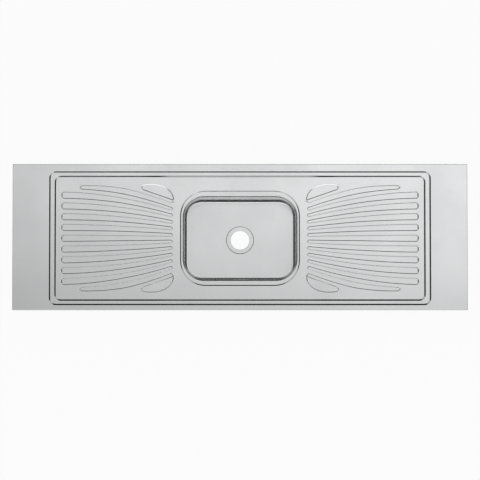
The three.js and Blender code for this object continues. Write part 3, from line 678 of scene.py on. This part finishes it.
scratches.links.new(found, result)


def new_finish(name, metallic=0.0):
    """A material; its node tree and its surface shader."""
    made = bpy.data.materials.new(name)
    made.use_nodes = True
    shader = made.node_tree.nodes["Principled BSDF"]
    shader.inputs["Metallic"].default_value = metallic
    return made, made.node_tree, shader


def mix_colours(tree, share, first, second):
    mixed = add_node(tree, "Mix", {"data_type": "RGBA"}, i0=share)
    for index, colour in ((6, first), (7, second)):
        if isinstance(colour, bpy.types.NodeSocket):
            tree.links.new(colour, mixed.inputs[index])
        else:
            mixed.inputs[index].default_value = (*colour, 1)
    return mixed.outputs[2]


def raise_surface(tree, shader, height, distance, strength=1.0):
    """Gives a surface a relief that is distance metres deep."""
    relief = add_node(tree, "Bump", Height=height, Distance=distance, Strength=strength)
    tree.links.new(relief.outputs[0], shader.inputs["Normal"])


def satin_steel(name, clean, marked, lines, roughness):
    made, tree, shader = new_finish(name, 1.0)
    along = place_group(tree, grain, Lines=lines)
    wiped = place_group(tree, patches, Scale=5.0, Detail=4.0)
    hairlines = place_group(tree, scratches, Scale=11.0, Width=0.0035)
    tree.links.new(mix_colours(tree, wiped, clean, marked), shader.inputs["Base Color"])
    dull = calculate(tree, "MULTIPLY_ADD", along, 0.06, roughness - 0.03)
    dull = calculate(tree, "MULTIPLY_ADD", wiped, 0.035, dull)
    dull = calculate(tree, "MULTIPLY_ADD", hairlines, 0.025, dull)
    tree.links.new(dull, shader.inputs["Roughness"])
    raise_surface(tree, shader, along, 0.0000005)
    return made


CLEAN_STEEL, WIPED_STEEL = (0.715, 0.72, 0.725), (0.685, 0.69, 0.695)
ALONG_X = (9, 1500, 1500)
stainless = satin_steel("satin_stainless", CLEAN_STEEL, WIPED_STEEL, ALONG_X, 0.17)

pressed_sheet = new_piece("pressed_sheet", sheet_points, sheet_faces, stainless, SHEET)
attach(pressed_sheet, "sink_top")
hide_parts("deck")

# ---- Bowl ----
# Deep-drawn from 1 mm stainless steel: a flat flange welded under the sheet and ground flush, a
# 6 mm bend into straight walls, a larger bend into the floor, which falls to a recess for the
# waste outlet. The hole in the recess is bare.
BOWL_STEPS = 14
BOWL_SIDE_STEPS = 12
WELD_FLANGE = 0.012
BOWL_LEDGE = (0.0040, 0.0130, 0.0085)  # at the sides, at the front and rear, and in the corners
MOUTH_BEND = 0.0060
FLOOR_BEND = 0.011
FLOOR = (0.1875, 0.1325, 0.051)
FLOOR_DEPTH = 0.150
FLOOR_FALL = 0.0012
FLOOR_FLAT = 0.004  # a ring this far inside the bend keeps the floor flat beside it
RECESS_RADIUS, RECESS_DEPTH, HOLE_RADIUS = 0.049, 0.0022, 0.03375
BEND_STEPS = 8
floor_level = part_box("bowl")[1].z - FLOOR_DEPTH


def bowl_ring(box, grow, level):
    """Points round a rounded rectangle, as many for every size."""
    half_x, half_y, radius = (size + grow for size in box)
    ring = []
    for corner, (sign_x, sign_y) in enumerate(QUARTERS):
        centre = Vector((sign_x * (half_x - radius), PANEL_Y + sign_y * (half_y - radius), level))
        for i in range(BOWL_STEPS + 1):
            angle = (corner + i / BOWL_STEPS) * math.pi / 2
            ring.append(centre + radius * Vector((math.cos(angle), math.sin(angle), 0)))
        side_length = 2 * ((half_x - radius) if corner % 2 == 0 else (half_y - radius))
        along = Vector((-math.sin(angle), math.cos(angle), 0)) * side_length / BOWL_SIDE_STEPS
        for i in range(1, BOWL_SIDE_STEPS):
            ring.append(ring[-1] + along)
    return ring


def drain_ring(radius, level, outline):
    """A circle round the drain, with a point in the direction of each point of the outline."""
    ring = []
    for p in outline:
        out = Vector((p.x, p.y - PANEL_Y, 0)).normalized()
        ring.append(Vector((0, PANEL_Y, level)) + radius * out)
    return ring


def loft(rings, closed=False):
    """Points and faces of a skin over rings of equal length; closed joins the last ring to the first."""
    count = len(rings[0])
    faces = []
    for row in range(len(rings) if closed else len(rings) - 1):
        a, b = row * count, (row + 1) % len(rings) * count
        faces += [(a + i, b + i, b + (i + 1) % count, a + (i + 1) % count) for i in range(count)]
    return [p for ring in rings for p in ring], faces


mouth = tuple(size - ledge for size, ledge in zip(RIM, BOWL_LEDGE))
mouth_inner = tuple(size - MOUTH_BEND for size in mouth)
wall_foot = tuple(size + FLOOR_BEND for size in FLOOR)
FLANGE_FLAT = 0.001
rings = [
    bowl_ring(RIM, WELD_FLANGE, mouth_level),
    bowl_ring(RIM, FLANGE_FLAT, mouth_level),
    bowl_ring(mouth, FLANGE_FLAT, mouth_level),
]
for i in range(BEND_STEPS + 1):
    turn = math.pi / 2 * i / BEND_STEPS
    level = mouth_level - MOUTH_BEND * (1 - math.cos(turn))
    rings.append(bowl_ring(mouth, -MOUTH_BEND * math.sin(turn), level))
foot_level = floor_level + FLOOR_BEND
wall_top = mouth_level - MOUTH_BEND
WALL_ROWS = (0.04, 0.5, 0.96)  # shares of the way down the wall
for share in WALL_ROWS:
    size = tuple(a + (b - a) * share for a, b in zip(mouth_inner, wall_foot))
    rings.append(bowl_ring(size, 0, wall_top + (foot_level - wall_top) * share))
for i in range(BEND_STEPS + 1):
    turn = math.pi / 2 * i / BEND_STEPS
    level = foot_level - FLOOR_BEND * math.sin(turn)
    rings.append(bowl_ring(FLOOR, FLOOR_BEND * math.cos(turn), level))
outer_floor = bowl_ring(FLOOR, -FLOOR_FLAT, floor_level)
rings.append(outer_floor)
floor_outline = bowl_ring(FLOOR, 0, 0)
RECESS_SLANT, RECESS_BEND, RECESS_FOOT_BEND = 48, 0.001, 0.0008
recess_profile = bend_profile(RECESS_DEPTH, RECESS_SLANT, RECESS_BEND, RECESS_FOOT_BEND, steps=3)
recess_rows = [(RECESS_RADIUS + across, share) for across, share in recess_profile]
RECESS_FLAT_OUTSIDE, RECESS_FLAT_INSIDE, HOLE_FLAT = 0.003, 0.002, 0.001
rim_of_recess = drain_ring(recess_rows[0][0] + RECESS_FLAT_OUTSIDE, floor_level - FLOOR_FALL, floor_outline)
FLOOR_ROWS = (0.35, 0.7)  # shares of the way from the bend to the recess
for share in FLOOR_ROWS:
    rings.append([a.lerp(b, share) for a, b in zip(outer_floor, rim_of_recess)])
rings.append(rim_of_recess)
recess_floor = floor_level - FLOOR_FALL - RECESS_DEPTH
for radius, share in recess_rows:
    rings.append(drain_ring(radius, recess_floor + RECESS_DEPTH * share, floor_outline))
rings.append(drain_ring(recess_rows[-1][0] - RECESS_FLAT_INSIDE, recess_floor, floor_outline))
rings.append(drain_ring(HOLE_RADIUS + HOLE_FLAT, recess_floor, floor_outline))
rings.append(drain_ring(HOLE_RADIUS, recess_floor, floor_outline))
bowl_points, bowl_faces = loft(rings)
DRAWN_LINES = (260, 260, 26)
drawn_steel = satin_steel("drawn_stainless", CLEAN_STEEL, WIPED_STEEL, DRAWN_LINES, 0.19)
bowl = new_piece("drawn_bowl", bowl_points, bowl_faces, drawn_steel, SHEET)
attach(bowl, "sink_top")
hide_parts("bowl")

# ---- Sound-deadening pads ----
# Bitumen felt, 3 mm thick, cut with a knife and stuck to the outside of the bowl's four walls, with
# corners and edges that have softened. The one under the floor is what a loose sink stands on.
PAD = 0.003
PAD_GAP = 0.0003
PAD_CORNER = 0.012
PAD_STEPS = 6
PAD_EDGE = 0.0007
EDGE_MIDDLE = 0.3  # of the edge's radius: where a point halfway round it lies from either face


def soft_slab(width, height, thickness, corner, edge):
    """A flat pad in its own X and Y with round corners and rounded-over edges, from Z 0 upwards."""
    halfway = edge * EDGE_MIDDLE
    rows = [(edge, 0.0), (halfway, halfway), (0.0, edge), (0.0, thickness - edge)]
    rows += [(halfway, thickness - halfway), (edge, thickness)]
    outline = []
    for quarter, (sign_x, sign_y) in enumerate(QUARTERS):
        for i in range(PAD_STEPS + 1):
            angle = (quarter + i / PAD_STEPS) * math.pi / 2
            out = Vector((math.cos(angle), math.sin(angle)))
            centre = Vector((sign_x * (width / 2 - corner), sign_y * (height / 2 - corner)))
            outline.append((centre, out))
    points = []
    for inset, level in rows:
        points += [(*(centre + out * (corner - inset)), level) for centre, out in outline]
    count = len(outline)
    faces = [tuple(reversed(range(count)))]
    for row in range(len(rows) - 1):
        for i in range(count):
            j = (i + 1) % count
            a, b = row * count, (row + 1) * count
            faces.append((a + i, a + j, b + j, b + i))
    faces.append(tuple(range(len(points) - count, len(points))))
    return points, faces


felt, tree, shader = new_finish("bitumen_felt")
place = add_node(tree, "TexCoord").outputs["Object"]
grit = add_node(tree, "TexNoise", Vector=place, Scale=900.0, Detail=4.0)
worn = place_group(tree, patches, Scale=14.0, Detail=5.0)
dark_felt = mix_colours(tree, worn, (0.030, 0.029, 0.029), (0.060, 0.058, 0.056))
specks = soft_step(tree, grit.outputs[0], 0.60, 0.72)
tree.links.new(mix_colours(tree, specks, dark_felt, (0.13, 0.125, 0.12)), shader.inputs["Base Color"])
tree.links.new(calculate(tree, "MULTIPLY_ADD", grit.outputs[0], 0.25, 0.70), shader.inputs["Roughness"])
raise_surface(tree, shader, grit.outputs[0], 0.0004)

for name, outward in (
    ("front_wall_pad", Vector((0, -1, 0))),
    ("rear_wall_pad", Vector((0, 1, 0))),
    ("left_wall_pad", Vector((-1, 0, 0))),
    ("right_wall_pad", Vector((1, 0, 0))),
):
    across = 0 if outward.x else 1
    low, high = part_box(name)
    lean = math.atan2(mouth_inner[across] - wall_foot[across], wall_top - foot_level)
    along = Vector((-outward.y, outward.x, 0))
    upward = outward * math.sin(lean) + Vector((0, 0, math.cos(lean)))
    away = along.cross(upward)
    level = (low.z + high.z) / 2
    share = (level - foot_level) / (wall_top - foot_level)
    wall = wall_foot[across] + (mouth_inner[across] - wall_foot[across]) * share
    centre = outward * (wall + SHEET / math.cos(lean)) + away * PAD_GAP + Vector((0, PANEL_Y, level))
    points, faces = soft_slab((high - low)[1 - across], high.z - low.z, PAD, PAD_CORNER, PAD_EDGE)
    points = [centre + along * x + upward * y + away * z for x, y, z in points]
    pad = new_piece("soft_" + name, points, faces, felt)
    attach(pad, "sink_top")
    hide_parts(name)

FLOOR_PAD_CORNER = 0.030
FLOOR_PAD_HOLE = 0.0525
low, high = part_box("floor_pad")
size = ((high.x - low.x) / 2, (high.y - low.y) / 2, FLOOR_PAD_CORNER)
halfway = PAD_EDGE * EDGE_MIDDLE
rings = [
    drain_ring(FLOOR_PAD_HOLE, PAD - PAD_EDGE, floor_outline),
    drain_ring(FLOOR_PAD_HOLE + PAD_EDGE, PAD, floor_outline),
    bowl_ring(size, -PAD_EDGE, PAD),
    bowl_ring(size, -halfway, PAD - halfway),
    bowl_ring(size, 0, PAD - PAD_EDGE),
    bowl_ring(size, 0, PAD_EDGE),
    bowl_ring(size, -halfway, halfway),
    bowl_ring(size, -PAD_EDGE, 0),
    drain_ring(FLOOR_PAD_HOLE + PAD_EDGE, 0, floor_outline),
    drain_ring(FLOOR_PAD_HOLE, PAD_EDGE, floor_outline),
]
points, faces = loft(rings, closed=True)
pad = new_piece("soft_floor_pad", points, faces, felt)
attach(pad, "sink_top")
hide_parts("floor_pad")

# ---- Foam strips ----
# Closed-cell foam tape, 8 by 3 mm, stuck to the lip all round, which seals the sheet to the cabinets.
FOAM_EDGE, FOAM_CORNER = 0.0009, 0.0015
foam, tree, shader = new_finish("closed_cell_foam")
place = add_node(tree, "TexCoord").outputs["Object"]
cells = add_node(tree, "TexVoronoi", Vector=place, Scale=1300.0)
pore_pits_and_shade = soft_step(tree, cells.outputs["Distance"], 0.1, 0.5)
aged = place_group(tree, patches, Scale=20.0, Detail=3.0)
skin = mix_colours(tree, aged, (0.055, 0.056, 0.060), (0.085, 0.086, 0.090))
# The pores are pits in the foam's skin; their darker colour is painted shade in the pits.
tree.links.new(mix_colours(tree, pore_pits_and_shade, (0.030, 0.030, 0.032), skin), shader.inputs["Base Color"])
tree.links.new(calculate(tree, "MULTIPLY_ADD", pore_pits_and_shade, -0.15, 0.95), shader.inputs["Roughness"])
raise_surface(tree, shader, pore_pits_and_shade, 0.0003)

for name in ("front_seal", "rear_seal", "left_seal", "right_seal"):
    low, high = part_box(name)
    width, depth, thickness = (b - a for a, b in zip(low, high))
    points, faces = soft_slab(width, depth, thickness, FOAM_CORNER, FOAM_EDGE)
    middle = Vector(((low.x + high.x) / 2, (low.y + high.y) / 2, low.z))
    strip = new_piece("soft_" + name, [middle + Vector(p) for p in points], faces, foam)
    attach(strip, "sink_top")
    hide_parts(name)

# ---- Rails, corner plates and cross channels ----
# Galvanised sheet steel, bent to channels and hats and spot-welded, which keeps the thin top stiff.
# The zinc has frozen in flat crystals, each of which mirrors a little differently.
def galvanised_steel():
    made, tree, shader = new_finish("galvanised_steel", 1.0)
    place = add_node(tree, "TexCoord").outputs["Object"]
    wobble = add_node(tree, "TexNoise", Vector=place, Scale=60.0, Detail=3.0)
    shift = (0.010, 0.010, 0.010)
    bent = add_node(tree, "VectorMath", {"operation": "MULTIPLY_ADD"},
                    i0=wobble.outputs[1], i1=shift, i2=place)
    crystals = add_node(tree, "TexVoronoi", Vector=bent.outputs[0], Scale=95.0)
    tone = add_node(tree, "SeparateColor", Color=crystals.outputs["Color"])
    feathers = add_node(tree, "TexNoise", Vector=place, Scale=420.0, Detail=4.0)
    weathered = place_group(tree, patches, Scale=9.0, Detail=5.0)
    bright = mix_colours(tree, tone.outputs[0], (0.46, 0.48, 0.50), (0.62, 0.635, 0.645))
    greyed = calculate(tree, "MULTIPLY", weathered, 0.6)
    tree.links.new(mix_colours(tree, greyed, bright, (0.42, 0.43, 0.44)), shader.inputs["Base Color"])
    dull = calculate(tree, "MULTIPLY_ADD", tone.outputs[1], 0.16, 0.26)
    dull = calculate(tree, "MULTIPLY_ADD", feathers.outputs[0], 0.10, dull)
    tree.links.new(calculate(tree, "MULTIPLY_ADD", weathered, 0.12, dull), shader.inputs["Roughness"])
    uneven = calculate(tree, "MULTIPLY_ADD", feathers.outputs[0], 0.4, tone.outputs[0])
    raise_surface(tree, shader, uneven, 0.00002)
    return made


galvanised = galvanised_steel()
for name in (
    "front_rail", "rear_rail", "left_rail", "right_rail",
    "front_left_gusset", "rear_left_gusset", "front_right_gusset", "rear_right_gusset",
    "left_inner_cross_channel", "left_outer_cross_channel",
    "right_inner_cross_channel", "right_outer_cross_channel",
):
    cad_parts[name].material_slots[0].material = galvanised

# ---- Backing boards ----
# Raw moisture-resistant chipboard, 16 mm thick, glued under the sheet so that it doesn't drum: long
# pale and brown chips with dark specks of bark, denser and finer at the faces than at the sawn edges.
def chipboard_finish():
    made, tree, shader = new_finish("chipboard")
    place = add_node(tree, "TexCoord").outputs["Object"]
    layers = []
    for scale, stretch, angle in ((260.0, 0.35, 0.4), (340.0, 0.4, 1.7), (520.0, 0.55, 2.6)):
        turned = add_node(tree, "VectorRotate", LEVEL_TURN, Vector=place, Angle=angle)
        longer = add_node(tree, "VectorMath", TIMES, i0=turned.outputs[0], i1=(stretch, 1, 1))
        chips = add_node(tree, "TexVoronoi", Vector=longer.outputs[0], Scale=scale)
        layers.append((add_node(tree, "SeparateColor", Color=chips.outputs["Color"]).outputs, chips))
    (large, large_chips), (middling, _), (small, _) = layers
    base = mix_colours(tree, large[0], (0.33, 0.22, 0.12), (0.58, 0.44, 0.27))
    on_top = calculate(tree, "GREATER_THAN", middling[1], 0.55)
    over = mix_colours(tree, middling[0], (0.42, 0.30, 0.17), (0.66, 0.52, 0.34))
    base = mix_colours(tree, on_top, base, over)
    bark = calculate(tree, "GREATER_THAN", small[2], 0.93)
    base = mix_colours(tree, bark, base, (0.13, 0.075, 0.04))
    damp = place_group(tree, patches, Scale=6.0, Detail=3.0)
    base = mix_colours(tree, calculate(tree, "MULTIPLY", damp, 0.25), base, (0.30, 0.22, 0.13))
    tree.links.new(base, shader.inputs["Base Color"])
    tree.links.new(calculate(tree, "MULTIPLY_ADD", large[1], 0.2, 0.72), shader.inputs["Roughness"])
    raise_surface(tree, shader, large_chips.outputs["Distance"], 0.00025, 0.6)
    return made


chipboard = chipboard_finish()
for name in ("left_drainer_backing", "right_drainer_backing", "left_wing_backing", "right_wing_backing"):
    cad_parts[name].material_slots[0].material = chipboard

# ---- Studs ----
# M6 threaded rods of zinc-plated steel, each on a round foot that is resistance-welded to a cross
# channel. The thread is a real spiral, and runs up to the foot.
THREAD_PITCH, THREAD_DEPTH = 0.001, 0.00055
STUD_RADIUS, STUD_CHAMFER = 0.003, 0.001
FOOT_RADIUS, FOOT_THICKNESS, FOOT_EDGE = 0.0075, 0.0016, 0.0005
AROUND = 16
ROWS_PER_TURN = 5
FIXING_X = (0.2410, 0.6895)
FIXING_Y = 0.212


def zinc_finish():
    made, tree, shader = new_finish("zinc_plated", 1.0)
    along = place_group(tree, grain, Lines=(500, 500, 500))
    faded = place_group(tree, patches, Scale=70.0, Detail=3.0)
    plated = mix_colours(tree, faded, (0.64, 0.65, 0.61), (0.56, 0.575, 0.58))
    tree.links.new(plated, shader.inputs["Base Color"])
    dull = calculate(tree, "MULTIPLY_ADD", along, 0.14, 0.17)
    tree.links.new(calculate(tree, "MULTIPLY_ADD", faded, 0.12, dull), shader.inputs["Roughness"])
    raise_surface(tree, shader, along, 0.000012)
    return made


zinc = zinc_finish()


def circle_ring(radius, level):
    """A ring round the Z axis; radius is a number or a function of the angle."""
    ring = []
    for i in range(AROUND):
        angle = 2 * math.pi * i / AROUND
        reach = radius(angle) if callable(radius) else radius
        ring.append(Vector((reach * math.cos(angle), reach * math.sin(angle), level)))
    return ring


def capped_loft(rings):
    """A loft that is closed by a face at both ends."""
    points, faces = loft(rings)
    count = len(rings[0])
    last = len(points) - count
    return points, faces + [tuple(range(count)), tuple(reversed(range(last, len(points))))]


def stud_rings(foot, top):
    """Rings of a threaded stud, from its free end up to its weld foot."""
    thread_top = top - FOOT_THICKNESS
    count = round((thread_top - foot) / THREAD_PITCH * ROWS_PER_TURN)
    rings = []
    for row in range(count + 1):
        level = foot + (thread_top - foot) * row / count
        point = min((level - foot) / STUD_CHAMFER, 1.0) * THREAD_DEPTH * 2
        crest = min(STUD_RADIUS, STUD_RADIUS - THREAD_DEPTH * 2 + point)

        def reach(angle, level=level, crest=crest):
            turns = (level / THREAD_PITCH - angle / (2 * math.pi)) % 1.0
            return min(crest, STUD_RADIUS - THREAD_DEPTH * (1 - abs(2 * turns - 1)))

        rings.append(circle_ring(reach, level))
    for radius, level in (
        (STUD_RADIUS, thread_top),
        (FOOT_RADIUS - FOOT_EDGE, thread_top),
        (FOOT_RADIUS, thread_top + FOOT_EDGE),
        (FOOT_RADIUS, top - FOOT_EDGE),
        (FOOT_RADIUS - FOOT_EDGE, top),
    ):
        rings.append(circle_ring(radius, level))
    return rings


fixings = []
for row, row_side in (("front", -1), ("rear", 1)):
    for number, x in enumerate((-FIXING_X[1], -FIXING_X[0], FIXING_X[0], FIXING_X[1]), 1):
        fixings.append((row, number, Vector((x, row_side * FIXING_Y, 0))))

for row, number, middle in fixings:
    node = f"{row}_stud_{number}"
    low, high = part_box(node)
    points, faces = capped_loft(stud_rings(low.z, high.z))
    stud = new_piece(f"{row}_threaded_stud_{number}", [middle + p for p in points], faces, zinc)
    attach(stud, "sink_top")
    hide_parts(node)

# ---- Clips ----
# Zinc-plated strip, 20 by 2.5 mm, with a punched hole for the stud, of which only the outline is cut here,
# and its end bent up to a hook that grips the cabinet's rail. Its corners are cut round and its edges
# tumbled.
CLIP_WIDTH, CLIP_THICKNESS, CLIP_EDGE = 0.020, 0.0025, 0.0005
CLIP_TAIL, CLIP_REACH = 0.010, 0.040
CLIP_CORNER = 0.003
CLIP_BEND = 0.0022  # inner radius
CLIP_HOLE = 0.0035
PUNCH_TRAVEL = 0.010
EDGE_STEPS, CORNER_ROWS, CLIP_BEND_ROWS = 3, 5, 8


def clip_section(place, normal, half_width):
    """One ring round the strip: place is on its middle line and normal points out of its upper face."""
    ring = []
    half = CLIP_THICKNESS / 2 - CLIP_EDGE
    for quarter, (side, face) in enumerate(QUARTERS):
        for i in range(EDGE_STEPS + 1):
            angle = (quarter + i / EDGE_STEPS) * math.pi / 2
            across = side * (half_width - CLIP_EDGE) + CLIP_EDGE * math.cos(angle)
            upwards = face * half + CLIP_EDGE * math.sin(angle)
            ring.append(place + Vector((0, across, 0)) + normal * upwards)
    return ring


def clip_shape(foot, top):
    """Mesh of a clip that points along +X from its stud on the Z axis."""
    middle = foot + CLIP_THICKNESS / 2
    turn_radius = CLIP_BEND + CLIP_THICKNESS / 2
    turn_x = CLIP_REACH - CLIP_THICKNESS / 2 - turn_radius
    route = []
    for i in range(CORNER_ROWS + 1):
        along = CLIP_CORNER * (1 - math.cos(math.pi / 2 * i / CORNER_ROWS))
        route.append((Vector((-CLIP_TAIL + along, 0, middle)), Vector((0, 0, 1)), along))
    route += [(Vector((x, 0, middle)), Vector((0, 0, 1)), CLIP_CORNER) for x in (0.0, turn_x / 2, turn_x)]
    for i in range(1, CLIP_BEND_ROWS + 1):
        angle = math.pi / 2 * i / CLIP_BEND_ROWS
        out = Vector((math.sin(angle), 0, -math.cos(angle)))
        route.append((Vector((turn_x, 0, middle + turn_radius)) + turn_radius * out, -out, CLIP_CORNER))
    for i in range(CORNER_ROWS + 1):
        left = CLIP_CORNER * (1 - math.sin(math.pi / 2 * i / CORNER_ROWS))
        route.append((Vector((CLIP_REACH - CLIP_THICKNESS / 2, 0, top - left)), Vector((-1, 0, 0)), left))
    rings = []
    for place, normal, from_end in route:
        short = CLIP_CORNER - from_end
        narrowing = CLIP_CORNER - math.sqrt(max(CLIP_CORNER ** 2 - short ** 2, 0.0))
        rings.append(clip_section(place, normal, CLIP_WIDTH / 2 - narrowing))
    blank = new_piece("clip_blank", *capped_loft(rings), zinc)
    # The cut leaves only the hole's outline on both faces of the strip, with the steel still in it.
    punch_rings = [circle_ring(CLIP_HOLE, foot + travel) for travel in (-PUNCH_TRAVEL, PUNCH_TRAVEL)]
    punch = new_piece("clip_punch", *capped_loft(punch_rings), zinc)
    hole = blank.modifiers.new("hole outline", "BOOLEAN")
    hole.operation, hole.solver, hole.object = "DIFFERENCE", "EXACT", punch
    ready = blank.evaluated_get(bpy.context.evaluated_depsgraph_get())
    shape = ([v.co.copy() for v in ready.data.vertices], [tuple(f.vertices) for f in ready.data.polygons])
    bpy.data.objects.remove(blank)
    bpy.data.objects.remove(punch)
    return shape


low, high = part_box("front_clip_1")
clip_points, clip_faces = clip_shape(low.z, high.z)
for row, number, middle in fixings:
    node = f"{row}_clip_{number}"
    outwards = math.copysign(1, middle.x)
    points = [middle + Vector((outwards * p.x, outwards * p.y, p.z)) for p in clip_points]
    clip = new_piece(f"{row}_bent_clip_{number}", points, clip_faces, zinc)
    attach(clip, node + "_swing")
    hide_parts(node)

# ---- Wing nuts ----
# Cold-forged and zinc plated: a round barrel with a bored thread and two drooping ears with thick
# rounded edges.
BARREL = (  # radius, and height above the foot
    (0.0035, 0.0004), (0.0039, 0.0), (0.0052, 0.0), (0.0060, 0.0008), (0.0060, 0.0050),
    (0.0055, 0.0058), (0.0050, 0.0060), (0.0039, 0.0060), (0.0035, 0.0056),
)
EAR = (  # out from the axis, and up from the barrel's foot
    (0.0050, 0.0047), (0.0085, 0.0036), (0.0122, 0.0008), (0.0139, -0.0012),
    (0.0128, -0.0026), (0.0108, -0.0028), (0.0078, -0.0012), (0.0050, 0.0004),
)
EAR_LAYERS = (  # across the ear, and the size of its outline there
    (-0.0010, 0.72), (-0.0008, 0.88), (-0.0004, 0.98),
    (0.0004, 0.98), (0.0008, 0.88), (0.0010, 0.72),
)
EAR_STEPS = 4


def smooth_loop(corners, steps):
    """A closed curve through corners."""
    found = []
    for i in range(len(corners)):
        a, b, c, d = (Vector(corners[(i + k) % len(corners)]) for k in (-1, 0, 1, 2))
        for k in range(steps):
            t = k / steps
            found.append((2 * b + (c - a) * t + (2 * a - 5 * b + 4 * c - d) * t * t
                          + (3 * b - 3 * c + d - a) * t ** 3) / 2)
    return found


def wing_nut_shape(foot):
    """Mesh of a wing nut on the Z axis: its barrel and two ears."""
    points, faces = loft([circle_ring(radius, foot + level) for radius, level in BARREL], closed=True)
    outline = smooth_loop(EAR, EAR_STEPS)
    centre = sum(outline, Vector((0, 0))) / len(outline)
    for side in (1, -1):
        layers = []
        for offset, scale in EAR_LAYERS:
            ring = [centre + (p - centre) * scale for p in outline]
            layers.append([Vector((side * p.x, side * offset, foot + p.y)) for p in ring])
        ear_points, ear_faces = capped_loft(layers)
        first = len(points)
        points = points + ear_points
        faces = faces + [tuple(first + i for i in face) for face in ear_faces]
    return points, faces


NUT_HEIGHT = 0.006
low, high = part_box("front_wing_nut_1")
nut_points, nut_faces = wing_nut_shape(high.z - NUT_HEIGHT)
for row, number, middle in fixings:
    node = f"{row}_wing_nut_{number}"
    nut = new_piece(f"{row}_forged_wing_nut_{number}", [middle + p for p in nut_points], nut_faces, zinc)
    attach(nut, node + "_turn")
    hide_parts(node)
